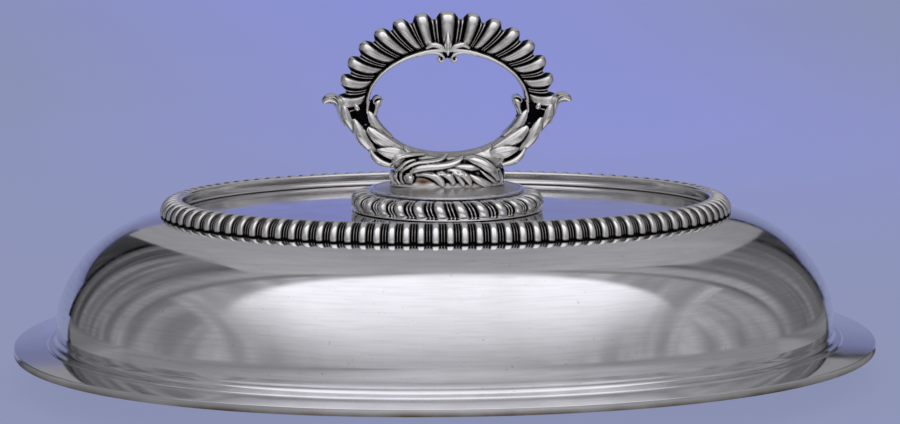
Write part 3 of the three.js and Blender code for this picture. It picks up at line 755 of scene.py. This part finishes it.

# %% [markdown]
# ## Acanthus arms
# Each arm climbs from the neck to the fan as a slim core under plump pointed leaves. They overlap like
# scales with their tips towards the fan, so each leaf is thickest just behind its tip and sinks under the
# next one at its foot. The outer leaf curls over at the top, an inner scroll closes beside the hole, and
# the core between them is painted black, partly tarnish and partly painted shade. The right arm mirrors the left one.

# %% Arms
arm_core = [(34, 4.6, 0.7, 0.9), (48, 4.2, 0.8, 1.3), (62, 3.4, 1.1, 2.0), (78, 2.5, 2.2, 3.0), (94, 2.3, 3.2, 3.2)]
arm_leaves = [
    [(-35.2, 0.6, 0.4, 3.4), (-34.7, -1.2, 1.25, 4.3), (-34.1, -3.4, 1.7, 4.4), (-32.9, -6.0, 1.5, 4.0),
     (-31.0, -8.9, 1.15, 3.2), (-28.8, -11.5, 0.5, 2.6)],
    [(-31.6, -4.3, 0.35, 3.4), (-31.0, -6.0, 1.3, 4.3), (-29.8, -8.8, 1.95, 4.8), (-28.1, -11.7, 2.05, 4.6),
     (-25.7, -14.6, 1.5, 3.9), (-22.8, -16.8, 0.7, 3.2)],
    [(-27.0, -7.1, 0.4, 3.6), (-26.1, -8.6, 1.6, 4.7), (-24.2, -10.4, 2.2, 5.2), (-21.5, -12.2, 2.3, 5.3),
     (-18.1, -14.0, 1.8, 5.0), (-14.6, -15.6, 1.1, 4.6)],
    [(-26.9, -1.6, 0.35, 3.2), (-26.2, -3.2, 1.2, 4.0), (-25.3, -5.1, 1.65, 4.3), (-23.9, -7.3, 1.65, 4.2),
     (-21.6, -9.7, 1.5, 3.8), (-18.6, -11.9, 1.1, 3.6)],
    [(-24.2, -15.0, 0.4, 4.2), (-22.4, -15.4, 1.5, 5.2), (-19.7, -15.9, 2.35, 5.9), (-16.7, -16.5, 2.5, 5.9),
     (-12.6, -17.8, 1.3, 4.4)],
    [(-26.3, -13.2, 0.3, 3.0), (-26.0, -15.2, 0.75, 4.0), (-24.8, -17.5, 1.1, 4.6), (-22.2, -19.5, 1.2, 5.0),
     (-17.4, -20.8, 0.7, 4.6)],
    [(-31.3, 0.3, 0.6, 4.0), (-30.7, -0.5, 1.0, 4.5), (-30.3, -1.4, 1.0, 4.4), (-30.1, -2.1, 0.6, 3.8)],
]
outer_curl = [
    (-33.9, -7.4, 1.0, 3.0), (-35.4, -4.2, 1.2, 3.4), (-36.1, -1.6, 1.25, 3.7), (-36.9, 0.6, 1.5, 3.9),
    (-38.3, 1.8, 1.8, 4.0), (-39.9, 1.9, 1.7, 3.8), (-41.1, 1.2, 1.35, 3.4), (-41.6, 0.3, 0.9, 2.8),
]
outer_rib = [(-40.6, 2.5, 0.2, 3.6), (-38.6, 2.7, 0.4, 4.5), (-37.0, 1.7, 0.4, 4.7), (-36.2, -0.6, 0.3, 4.3)]
inner_scroll = [
    (-24.9, -4.2, 0.9, 3.6), (-24.3, -2.4, 1.0, 3.9), (-23.9, -0.8, 1.3, 4.1), (-23.6, 0.4, 1.8, 4.3),
    (-22.9, 1.1, 1.7, 4.0), (-22.1, 1.2, 1.1, 3.2),
]
scroll_web = [(-25.2, -5.0, 1.0, 1.6), (-25.2, -2.5, 1.3, 1.8), (-25.2, 0.0, 1.3, 1.8), (-25.0, 1.6, 0.6, 1.4)]
scroll_lip = [(-25.1, 0.2, 0.3, 3.6), (-24.8, 1.7, 0.5, 4.4), (-23.6, 2.5, 0.5, 4.6), (-22.3, 2.2, 0.4, 4.2),
              (-21.7, 1.2, 0.25, 3.4)]
bead_end = [(-26.5, 1.4, 0.85, 4.3), (-26.9, -0.4, 0.95, 4.3), (-27.1, -2.0, 0.9, 4.1), (-27.0, -3.6, 0.45, 3.4)]


# Where the arm's core and the scroll's web are painted black, as tarnish and painted shade
hollow_foot, hollow_inner, hollow_outer = 86, 23.4, 33.4
scroll_side, scroll_level, core_level, hollow_slope = 25.6, 2.1, 3.0, 3


def arm_hollow(p):
    """The core between the leaves and the scroll's web lie low on both faces, and are painted black there: tarnish and
    painted shade
    """
    if p.z < hollow_foot or not hollow_inner <= abs(p.x) <= hollow_outer:
        return 0.0
    level = core_level if abs(p.x) > scroll_side else scroll_level
    return clamp(hollow_slope * (level - abs(p.y)))


for name, node, mirror in (
    ("acanthus_branch_left", "acanthus_arm_left", 1),
    ("acanthus_branch_right", "acanthus_arm_right", -1),
):
    arm_bm = bmesh.new()
    add_leaf(arm_bm, lower_rows(-34, -94, arm_core), mirror=mirror, across=28, along=56)
    for leaf in arm_leaves:
        add_leaf(arm_bm, leaf, mirror=mirror, rib=0.18, flatness=0.6, widen=1.12)
    for cord in (outer_curl, inner_scroll, scroll_web):
        add_leaf(arm_bm, cord, mirror=mirror, along=40, flatness=1)
    for cord in (outer_rib, scroll_lip, bead_end):
        add_leaf(arm_bm, cord, mirror=mirror, flatness=1)
    cast_piece(arm_bm, name, node, arm_hollow)

# %% [markdown]
# ## The neck
# The neck spreads to an oval foot on the disc. On each face an acanthus leaf rolls up from a small ball,
# sweeps across and breaks into curling tips, and the smaller leaves under it fall like a wave. The back
# carries the same leaf turned half round.

# %% Leaves of the neck
neck_leaves = [
    [(-16.3, -26.9, 0.4, 0.6), (-17.6, -25.0, 0.55, 1.1), (-17.4, -22.6, 0.6, 1.3), (-15.8, -20.5, 0.6, 1.3),
     (-13.8, -18.9, 0.55, 1.2), (-10.6, -18.0, 0.3, 0.6)],
    [(-14.8, -26.8, 0.4, 0.6), (-16.0, -24.8, 0.5, 1.3), (-15.7, -22.2, 0.6, 1.6), (-13.6, -20.5, 0.65, 1.7),
     (-10.6, -19.3, 0.65, 1.7), (-7.2, -19.0, 0.65, 1.6), (-3.6, -18.6, 0.6, 1.4), (-1.5, -17.9, 0.5, 1.0),
     (-0.1, -16.6, 0.2, 0.4)],
    [(-13.4, -23.2, 0.7, 0.8), (-10.6, -21.4, 1.3, 1.5), (-6.9, -20.8, 1.35, 1.7), (-3.1, -20.6, 1.3, 1.7),
     (0.4, -20.1, 1.15, 1.5), (3.2, -19.0, 0.9, 1.2), (5.2, -17.2, 0.2, 0.4)],
    [(-2.2, -21.9, 0.5, 0.8), (1.5, -22.1, 1.0, 1.5), (4.6, -23.1, 1.3, 1.7), (6.7, -25.2, 1.1, 1.5),
     (7.6, -27.4, 0.3, 0.6)],
    [(0.8, -20.9, 0.5, 0.7), (4.3, -20.8, 1.0, 1.4), (7.8, -21.2, 1.15, 1.4), (10.9, -21.7, 0.3, 0.4)],
    [(5.2, -17.9, 0.4, 0.5), (8.4, -18.4, 1.3, 1.5), (11.9, -20.0, 1.6, 1.8), (15.1, -22.6, 1.5, 1.7),
     (17.5, -26.4, 0.5, 0.8)],
    [(10.4, -21.9, 0.3, 0.6), (12.4, -23.5, 0.6, 1.2), (14.6, -25.2, 0.7, 1.2), (16.8, -26.9, 0.3, 0.5)],
    [(5.8, -23.0, 0.4, 0.6), (9.3, -24.9, 1.1, 1.4), (12.2, -26.4, 1.2, 1.4), (14.6, -27.2, 0.6, 0.8)],
    [(-11.6, -23.5, 0.5, 0.5), (-8.3, -23.0, 1.0, 1.3), (-5.0, -23.7, 1.35, 1.6), (-2.7, -25.6, 1.25, 1.4),
     (-1.9, -27.3, 0.6, 0.8)],
    [(-6.9, -22.2, 0.4, 0.5), (-2.9, -22.5, 1.0, 1.3), (0.2, -24.0, 1.25, 1.5), (1.8, -26.7, 0.8, 1.0)],
    [(0.6, -22.8, 0.3, 0.5), (3.0, -24.1, 0.9, 1.2), (4.5, -26.0, 0.9, 1.1), (5.0, -27.3, 0.4, 0.7)],
    [(-19.7, -20.9, 0.3, 0.5), (-18.4, -18.9, 0.6, 1.2), (-16.0, -17.3, 0.65, 1.4), (-12.4, -16.7, 0.55, 1.2),
     (-7.2, -16.7, 0.25, 0.5)],
    [(-18.6, -21.6, 0.5, 0.6), (-18.8, -24.4, 0.8, 0.9), (-17.9, -27.0, 0.7, 0.8)],
    [(16.9, -21.6, 0.4, 0.5), (18.0, -24.6, 0.7, 0.8), (18.2, -27.0, 0.5, 0.6)],
]
ball = [(-13.4, -22.5, 1.2, 1.5), (-13.4, -24.4, 2.0, 3.4), (-13.4, -26.3, 1.2, 1.5)]
neck_core = [(0, 6.5, 0.1, 0.1), (20, 6.5, 0.3, 0.2), (34, 5.9, 0.6, 0.4), (44, 4.7, 0.8, 1.2), (52, 3.4, 0.9, 2.0)]


loop_half_depth, loop_power = 6.2, 2.4
foot_half_length, foot_half_depth, foot_top, foot_blend = 19.3, 7.4, -20.0, 3.0
foot_flare, flare_top, flare_height = 1.2, -24.0, 3.2


def neck_face(x, z):
    """The loop's rounded face, or the spreading foot's where that stands further out"""
    inner, outer = lower_band(math.atan2(abs(x), -z))
    away = min(1, abs(2 * math.hypot(x, z) - inner - outer) / (outer - inner))
    loop = loop_half_depth * (1 - away**loop_power) ** (1 / loop_power)
    spread = foot_half_depth + foot_flare * max(0.0, (flare_top - z) / flare_height) ** 2
    foot = spread * math.sqrt(max(0.0, 1 - (x / foot_half_length) ** 2)) * clamp((foot_top - z) / foot_blend)
    return max(loop, foot)


print("leaves on each face of the neck:", len(neck_leaves))

# %% Neck
foot_section = [
    (0, -27.1), (12, -27.2), (19.6, -27.7), (19.8, -27.3), (19.6, -26.5), (18.9, -25.8), (18.4, -24.6),
    (18.0, -22.4), (15, -20.6), (0, -20),
]
foot_thinner, leaf_rib, leaf_lift, leaf_widen = 0.44, 0.12, 1.3, 1.1
neck_bm = turned(foot_section, loop_centre, 96, closed=False)
bmesh.ops.scale(neck_bm, vec=(1, foot_thinner, 1), verts=neck_bm.verts[:])
add_leaf(neck_bm, lower_rows(-52, 52, neck_core, count=36), across=32, along=72)
for front, mirror in ((-1, 1), (1, -1)):
    for leaf in neck_leaves:
        add_leaf(neck_bm, leaf, neck_face, front, mirror, leaf_rib, 14, lift=leaf_lift, widen=leaf_widen)
    add_leaf(neck_bm, ball, neck_face, front, mirror, flatness=1)
neck = cast_piece(neck_bm, "scrolled_neck", "handle_neck")
rubbed_spot, rubbed_size, rubbed_edge = np.array((-8.9, -8.6, loop_centre - 25.7)), (2.5, 2.6, 1.0), 1.5
rubbed_away = np.linalg.norm((read_mesh(neck.data)[0] - rubbed_spot) / rubbed_size, axis=1)
mark(neck, "rubbed", np.clip(rubbed_edge - rubbed_away, 0, 1))

# %% [markdown]
# ## The shell fan
# Fifteen fingers spread over the upper half of the loop, each plump and round-ended, with a black channel
# and two reeds to the next; the channel's black is partly tarnish and partly painted shade, and each finger is
# painted lighter towards its tip as a painted highlight. They lean towards the crown as they near the hole,
# where a smooth bead runs along the edge and rolls into two curls under a hanging bud. The section across the
# loop is spun through half a turn, and its points are then laid on the two ovals and drawn in along the channels.

# %% Fan
fan_lobes, fan_start, fan_spread = 15, -4.5, 189.0
fan_relief, fan_scallop, fan_sag = 2.2, 2.6, 1.5
hole_half_width, hole_half_height = 26.3, 16.8
fan_half_width, fan_half_height, fan_squareness, fan_lift = 37.0, 30.7, 0.93, 0.3
side_lean, upper_lean, lean_gain, valley_power = 8, 7.5, 6, 2.2
tip_highlight, tip_start, tip_length, deep_enough, least_depth = 0.16, 0.6, 0.25, 2.5, 0.15
fan_reeds = [(0, 0.1, 0.9), (0.17, 0.2, 0.62), (0.32, 0.44, 0.22), (0.47, 0.2, 0.62), (0.66, 0.0, 1), (0.85, 0.12, 1)]
fan_flank = [(0, 0.42, 0.88), (0.1, 0.74, 0.46), (0.3, 0.92, 0.32), (0.64, 0.99, 0.25), (1, 1, 0.2)]
fan_pattern = lobe_pattern(0.245, fan_reeds, fan_flank)
fan_side = [
    (0.0, 1.9, 0, 0.35), (0.015, 3.1, 0, 0.15), (0.05, 4.0, 0, 0), (0.095, 4.15, 0, 0.05), (0.13, 3.5, 0, 0.45),
    (0.155, 2.2, 0.1, 1), (0.185, 2.2, 0.5, 0.85), (0.235, 2.7, 0.9, 0), (0.32, 3.1, 1, 0), (0.44, 3.45, 1, 0),
    (0.56, 3.8, 1, 0), (0.68, 4.15, 1, 0), (0.78, 4.3, 1, 0), (0.87, 4.1, 1, 0), (0.94, 3.35, 1, 0),
    (0.982, 2.2, 1, 0), (1.0, 0.7, 1, 0),
]
fan_section = [(s, -y, w, d) for s, y, w, d in fan_side] + [(s, y, w, d) for s, y, w, d in reversed(fan_side)]


def lay_fan(step, point):
    """Place and recess of a point of the section at a step round the fan"""
    lobe, place = divmod(step, len(fan_pattern))
    phase, rise, recess = fan_pattern[place]
    turn = math.radians(fan_start + fan_spread * (lobe + phase) / fan_lobes)
    c, s = math.cos(turn), math.sin(turn)
    share, y, weight, groove = point
    inner_turn = turn + math.radians(side_lean * c + upper_lean * math.sin(2 * turn)) * min(1, lean_gain * c**2)
    inner = Vector((hole_half_width * math.cos(inner_turn), hole_half_height * math.sin(inner_turn)))
    square_c, square_s = (math.copysign(abs(part) ** fan_squareness, part) for part in (c, s))
    outer = Vector((fan_half_width * square_c, fan_half_height * square_s))
    across = (outer - inner).normalized()
    valley = (0.5 + 0.5 * math.cos(2 * math.pi * phase)) ** valley_power
    # A painted highlight: the recess falls towards each finger's tip, so the tip is painted lighter
    painted_tip_highlight = tip_highlight * clamp((share - tip_start) / tip_length) * rise
    share -= share**3 * fan_scallop * valley / (outer - inner).length
    depth = abs(y) - fan_relief * (1 - rise) * weight * min(1, abs(y) / deep_enough)
    sag = 4 * fan_sag * c * share * (1 - share)
    at = inner.lerp(outer, share) + sag * Vector((across.y, -across.x))
    laid = Vector((at.x, math.copysign(max(depth, least_depth), y), loop_centre + fan_lift + at.y)) * MM
    # The recess is the larger of the section's groove and the pattern's, less the tip highlight; the cast silver
    # paints it as tarnish and painted shade
    return laid, max(groove, recess * min(1, recess_gain * weight) - painted_tip_highlight)


fan_bm = bmesh.new()
fan_depth = fan_bm.verts.layers.float.new("recess")
first_radius = 20
fan_corners = [fan_bm.verts.new((first_radius + i, 0, 0)) for i in range(len(fan_section))]
fan_edges = [fan_bm.edges.new(pair) for pair in zip(fan_corners, fan_corners[1:] + fan_corners[:1])]
fan_steps = fan_lobes * len(fan_pattern)
bmesh.ops.spin(
    fan_bm, geom=fan_corners + fan_edges, cent=(0, 0, 0), axis=(0, -1, 0), angle=math.pi, steps=fan_steps
)
for v in fan_bm.verts:
    step = round(math.atan2(v.co.z, v.co.x) / math.pi * fan_steps) % (2 * fan_steps)
    v.co, v[fan_depth] = lay_fan(step, fan_section[round(math.hypot(v.co.x, v.co.z)) - first_radius])
bmesh.ops.holes_fill(fan_bm, edges=[e for e in fan_bm.edges if e.is_boundary], sides=0)
print("fan points:", len(fan_bm.verts))

# %% Curls and bud of the fan
bead_curl = [
    (-10.8, 16.0, 0.8, 3.9), (-7.4, 17.1, 0.85, 4.1), (-4.6, 17.3, 0.9, 4.2), (-2.4, 16.7, 0.9, 4.2),
    (-1.3, 15.7, 0.8, 4.1), (-1.5, 14.7, 0.75, 4.0), (-2.5, 14.4, 0.75, 3.8), (-3.0, 15.1, 0.7, 3.6),
    (-2.4, 15.5, 0.5, 3.4),
]
curl_web = [
    (-2.6, 15.2, 0.7, 2.4), (-1.2, 15.9, 1.0, 2.6), (0, 16.4, 1.1, 2.6), (1.2, 15.9, 1.0, 2.6), (2.6, 15.2, 0.7, 2.4),
]
bud = [(0, 24.6, 0.2, 0.3), (0, 22.6, 0.9, 1.4), (0, 20.4, 1.35, 2.0), (0, 18.4, 0.9, 1.6), (0, 16.2, 0.25, 0.5)]
bud_leaf = [(-0.6, 17.4, 0.35, 0.8), (-2.4, 19.3, 0.9, 1.6), (-5.0, 20.0, 0.95, 1.6), (-7.6, 18.6, 0.3, 0.6)]
bud_leaf_depth, bud_depth = 3.4, 3.6
for mirror in (1, -1):
    add_leaf(fan_bm, bead_curl, mirror=mirror, along=36, flatness=1)
    for front in (-1, 1):
        add_leaf(fan_bm, bud_leaf, lambda x, z: bud_leaf_depth, front, mirror, flatness=1)
for front in (-1, 1):
    add_leaf(fan_bm, bud, lambda x, z: bud_depth, front, flatness=1)
# The web between the curls is painted black: tarnish, and painted shade in the gap behind the curls
carved = set(fan_bm.verts)
add_leaf(fan_bm, curl_web, flatness=1)
for v in set(fan_bm.verts) - carved:
    v[fan_depth] = 1
finish_piece(fan_bm, "shell_fan", "handle", "shell_arch", "cast_silver")

# %% [markdown]
# ## The lock and its fixings
# The plate, stops, rivets, stud, nut and washer are already the shape of the real ones, so the packed
# nodes stay and take the plain nickel silver.

# %% Fixings
rivets = [f"lock_rivet_{i}" for i in range(1, 5)]
in_the_base = ["handle_base_plate", "spring_washer", "stud_nut", "lock_stud"]
for name in ["lock_plate", "lock_stop_closed", "lock_stop_open", *rivets, *in_the_base]:
    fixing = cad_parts[name]
    fixing.data.materials.clear()
    fixing.data.materials.append(NICKEL)
print("packed nodes with nickel silver:", sum(NICKEL.name in o.data.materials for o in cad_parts.values()))

# %% [markdown]
# ## Floor and backdrop
# The dish stands on a pale lavender-blue sweep that runs back and curves up. A line of three points is
# extruded sideways and its corner is bevelled to a large curve. Most of the sweep's colour is given out
# rather than lit, so that it is even and the dish's shadow on it stays soft.

# %% Sweep
def stage_sheet(name, corners, pull, material, curve=0.0):
    """A line of points in metres, extruded by pull, with its inner corners rounded"""
    bm = bmesh.new()
    points = [bm.verts.new(p) for p in corners]
    edges = [bm.edges.new(pair) for pair in zip(points, points[1:])]
    pulled = bmesh.ops.extrude_edge_only(bm, edges=edges)["geom"]
    bmesh.ops.translate(bm, vec=pull, verts=[g for g in pulled if isinstance(g, bmesh.types.BMVert)])
    if curve:
        folds = [e for e in bm.edges if len(e.link_faces) == 2]
        bmesh.ops.bevel(
            bm, geom=folds, offset=curve, offset_type="OFFSET", segments=24, profile=0.5, affect="EDGES", material=-1
        )
    mesh = bpy.data.meshes.new(name)
    bm.to_mesh(mesh)
    bm.free()
    mesh.polygons.foreach_set("use_smooth", [True] * len(mesh.polygons))
    mesh.materials.append(material)
    sheet_object = bpy.data.objects.new(name, mesh)
    bpy.context.scene.collection.objects.link(sheet_object)
    return sheet_object


def sweep_paper():
    """Lavender paper, with a painted bluer glow behind the dish and painted shade high up"""
    material, tree = empty_material("lavender sweep paper")
    place = add_node(tree, "TexCoord", take="Object")
    x, y, z = add_node(tree, "SeparateXYZ", {0: place}).node.outputs
    # Painted light: a bluer glow in the middle, behind the dish
    aside = add_node(tree, "Math", {0: x, 1: 0.14}, operation="SUBTRACT")
    off = add_node(tree, "Math", {0: aside}, operation="ABSOLUTE")
    widening = add_node(tree, "MapRange", {"Value": y, "From Min": 1, "From Max": 3, "To Min": 1, "To Max": 1.8})
    spread = add_node(tree, "Math", {0: off, 1: widening}, operation="DIVIDE")
    middle_first = {"Value": spread, "From Min": 0, "From Max": 0.5, "To Min": 1, "To Max": 0}
    near = add_node(tree, "MapRange", middle_first, interpolation_type="SMOOTHSTEP")
    behind = {"Value": y, "From Min": 0.0, "From Max": 0.9}
    back = add_node(tree, "MapRange", behind, interpolation_type="SMOOTHSTEP")
    glow = add_node(tree, "Math", {0: near, 1: back}, operation="MULTIPLY")
    low = add_node(tree, "Mix", {"Factor": glow, 6: linear("959CBF"), 7: linear("959CE0")}, data_type="RGBA")
    # Painted shade: the paper darkens high up
    upwards = {"Value": z, "From Min": 0.22, "From Max": 1.0}
    high = add_node(tree, "MapRange", upwards, interpolation_type="SMOOTHSTEP")
    colour = add_node(tree, "Mix", {"Factor": high, 6: low, 7: linear("7E82AC")}, data_type="RGBA")
    lit = add_node(tree, "BsdfDiffuse", {"Color": colour, "Roughness": 1})
    given = add_node(tree, "Emission", {"Color": colour, "Strength": 1})
    both = add_node(tree, "MixShader", {0: 0.8, 1: lit, 2: given})
    add_node(tree, "OutputMaterial", {"Surface": both})
    return material


ground, wall_y, wall_top, paper_half = -0.0001, 3.6, 4.5, 4
sweep_line = [(-paper_half, -3.5, ground), (-paper_half, wall_y, ground), (-paper_half, wall_y, wall_top)]
sweep = stage_sheet("sweep", sweep_line, (2 * paper_half, 0, 0), sweep_paper(), curve=1.35)
print("sweep faces:", len(sweep.data.polygons))

# %% [markdown]
# ## The light tent
# Silver is photographed inside a tent of white cloth, because the metal shows whatever stands round it.
# The bright front cloth arches from the floor to right above the dish, and from there a grey panel slants
# down behind it. Over the back half a vault of folded cloth darkens towards its black edge, which shows
# beside the blue sweep. Walls and a roof close the gaps round it. A white card lies on the floor in front,
# and grey ones with a black edge at the sides. The cloths give out light, and the camera doesn't see them.
# The numbers come from tracing the photograph's brightness on the dome back along the mirrored sight lines.

# %% Cloth material
def cloth(name, start, end, levels, folds=0.0, fold_scale=(1, 1, 1), centre=None):
    """Glowing cloth whose strength runs from one place to another, with folds and a brighter centre"""
    material, tree = empty_material(name)
    place = add_node(tree, "TexCoord", take="Object")
    axis = Vector(end) - Vector(start)
    off = add_node(tree, "VectorMath", {0: place, 1: start}, operation="SUBTRACT")
    along = add_node(tree, "VectorMath", {0: off, 1: axis / axis.length_squared}, operation="DOT_PRODUCT")
    level = add_node(tree, "MapRange", {"Value": along, "To Min": levels[0], "To Max": levels[1]})
    spread = add_node(tree, "Mapping", {"Vector": place, "Scale": fold_scale})
    noise = add_node(tree, "TexNoise", {"Vector": spread, "Scale": 1, "Detail": 2})
    fold = add_node(
        tree,
        "MapRange",
        {"Value": noise, "From Min": 0.35, "From Max": 0.65, "To Min": 1 - folds, "To Max": 1 + folds},
    )
    strength = add_node(tree, "Math", {0: level, 1: fold}, operation="MULTIPLY")
    if centre:
        bright, lit = bright_centre(tree, place, along, **centre)
        strength = add_node(tree, "Mix", {"Factor": lit, 2: strength, 3: bright}, data_type="FLOAT")
    light = add_node(tree, "Emission", {"Color": linear("F9F9FF"), "Strength": strength})
    add_node(tree, "OutputMaterial", {"Surface": light})
    return material


def bright_centre(tree, place, along, reach, levels, bow, edge):
    """Strength of a brighter middle, and where it lies: |x| within reach, and y before a bowed edge"""
    x, y, z = add_node(tree, "SeparateXYZ", {0: place}).node.outputs
    aside = add_node(tree, "Math", {0: x}, operation="ABSOLUTE")
    wide = add_node(tree, "Math", {0: z, 1: -0.35, 2: aside}, operation="MULTIPLY_ADD")
    middle_first = {"Value": wide, "From Min": reach[0], "From Max": reach[1], "To Min": 1, "To Max": 0}
    near = add_node(tree, "MapRange", middle_first, interpolation_type="SMOOTHSTEP")
    bright = add_node(tree, "MapRange", {"Value": along, "To Min": levels[0], "To Max": levels[1]})
    bent = add_node(tree, "Math", {0: aside, 1: 2}, operation="POWER")
    bowed = add_node(tree, "Math", {0: bent, 1: bow, 2: y}, operation="MULTIPLY_ADD")
    front_first = {"Value": bowed, "From Min": edge[0], "From Max": edge[1], "To Min": 1, "To Max": 0}
    fore = add_node(tree, "MapRange", front_first)
    return bright, add_node(tree, "Math", {0: near, 1: fore}, operation="MULTIPLY")


def hang(name, corners, pull, material):
    """Hang a cloth or lay a card that only the silver sees, and that sheds light unless it is a card"""
    sheet_object = stage_sheet(name, corners, pull, material)
    sheet_object.visible_camera = False
    sheet_object.visible_shadow = False
    sheet_object.visible_diffuse = "card" not in name
    return sheet_object


# %% Cloths of the tent
tent_half, tent_front, tent_back, tent_top = 1.3, -1.1, 1.4, 1.1
front_centre = {"reach": (0.1, 0.88), "levels": (0.5, 1.18), "bow": 0.5, "edge": (-0.08, 0)}
front_cloth = cloth(
    "bright front cloth", (0, 0, 0.1), (0, 0, tent_top), (0.36, 0.38), 0.25, (7, 0.5, 0.5), front_centre
)
side_cloth = cloth("folded side cloth", (0, tent_front, 0), (0, tent_back, 0), (0.4, 0.06), 0.55, (0.5, 9, 0.5))
wall_cloth = cloth("softly folded wall", (0, tent_front, 0), (0, tent_back, 0), (0.4, 0.06), 0.32, (0.5, 4.2, 0.5))
back_cloth = cloth("dark back cloth", (0, 0, 0.3), (0, 0, tent_top), (0.05, 0.05), 0.5, (7, 0.5, 0.5))
grey_panel = cloth("slanted grey panel", (0, 0, 0), (0, 1.1, 0), (0.43, 0.3), 0.08, (2, 2, 2))
black_edge = cloth("black edge", (0, 0, 0), (0, 1, 0), (0.004, 0.004))
floor_centre = {"reach": (0.0, 0.24), "levels": (0.62, 0.5), "bow": 0.0, "edge": (-0.2, -0.06)}
floor_card = cloth(
    "white floor card", (0, -0.12, 0), (0, tent_front, 0), (0.27, 0.27), 0.1, (5, 1, 1), floor_centre
)
side_card = cloth("grey side card", (0, -0.13, 0), (0, 0.5, 0), (0.27, 0.12), 0.3, (0.8, 12, 1))
print("strength of the front cloth's middle:", front_centre["levels"])

# %% Front cloth, panel and vault
quarter_turns = [math.pi / 2 * i / 24 for i in range(25)]
half_turns = [math.pi * i / 48 for i in range(49)]
arch = [(-tent_half, tent_front * math.cos(turn), tent_top * math.sin(turn)) for turn in quarter_turns]
vault = [(tent_half * math.cos(turn), 0, tent_top * math.sin(turn)) for turn in half_turns]
across, edge_place, roof_height = (2 * tent_half, 0, 0), tent_back - 0.16, 1.105
panel_left, panel_width, panel_top, panel_foot = -0.47, 1.17, (0.01, 1.09), (1.3, 0.44)

hang("tent_front", arch, across, front_cloth)
hang("tent_panel", [(panel_left, *panel_top), (panel_left, *panel_foot)], (panel_width, 0, 0), grey_panel)
print("width of the tent, m:", across[0])

# %% Cards, vault, walls and edges
card_start, card_height, card_gap, card_run = -0.065, 0.001, 0.1, 1.3
edge_width, edge_height = 0.012, 0.0012
hem_low, hem_high, hem_reach = 0.41, 0.45, 0.42

floor_line = [(-tent_half, card_start, card_height), (-tent_half, tent_front, card_height)]
hang("floor_card", floor_line, across, floor_card)
hang("tent_vault", vault, (0, edge_place, 0), side_cloth)
hang("tent_edge", [(x, edge_place, z) for x, _, z in vault], (0, tent_back - edge_place, 0), black_edge)
hang("tent_roof", [(-tent_half, 0, roof_height), (-tent_half, edge_place, roof_height)], across, side_cloth)
for side, hand in ((-1, "left"), (1, "right")):
    x, reach = side * tent_half, side * (tent_half - card_gap)
    inner, hem_end = x - reach, side * hem_reach
    card_line = [(inner, card_start, card_height), (x, card_start, card_height)]
    edge_line = [(inner - side * edge_width, card_start, edge_height), (inner, card_start, edge_height)]
    hang(f"side_card_{hand}", card_line, (reach, card_run, 0), side_card)
    hang(f"card_edge_{hand}", edge_line, (reach, card_run, 0), black_edge)
    hang(f"tent_side_{hand}", [(x, tent_front, 0), (x, edge_place, 0)], (0, 0, tent_top), wall_cloth)
    back_line = [(x, tent_back, hem_high), (hem_end, tent_back, hem_high)]
    hem_line = [(x, tent_back, hem_low), (hem_end, tent_back, hem_low)]
    hang(f"tent_back_{hand}", back_line, (0, 0, tent_top - hem_high), back_cloth)
    hang(f"tent_hem_{hand}", hem_line, (0, 0, hem_high - hem_low), black_edge)

# %% Air round the studio
world = bpy.data.worlds.new("studio air")
bpy.context.scene.world = world
world.use_nodes = True
world.node_tree.nodes.clear()
air = add_node(world.node_tree, "Background", {"Color": linear("9298BE"), "Strength": 1})
add_node(world.node_tree, "OutputWorld", {"Surface": air})
print(world.name, len(world.node_tree.nodes), "nodes")
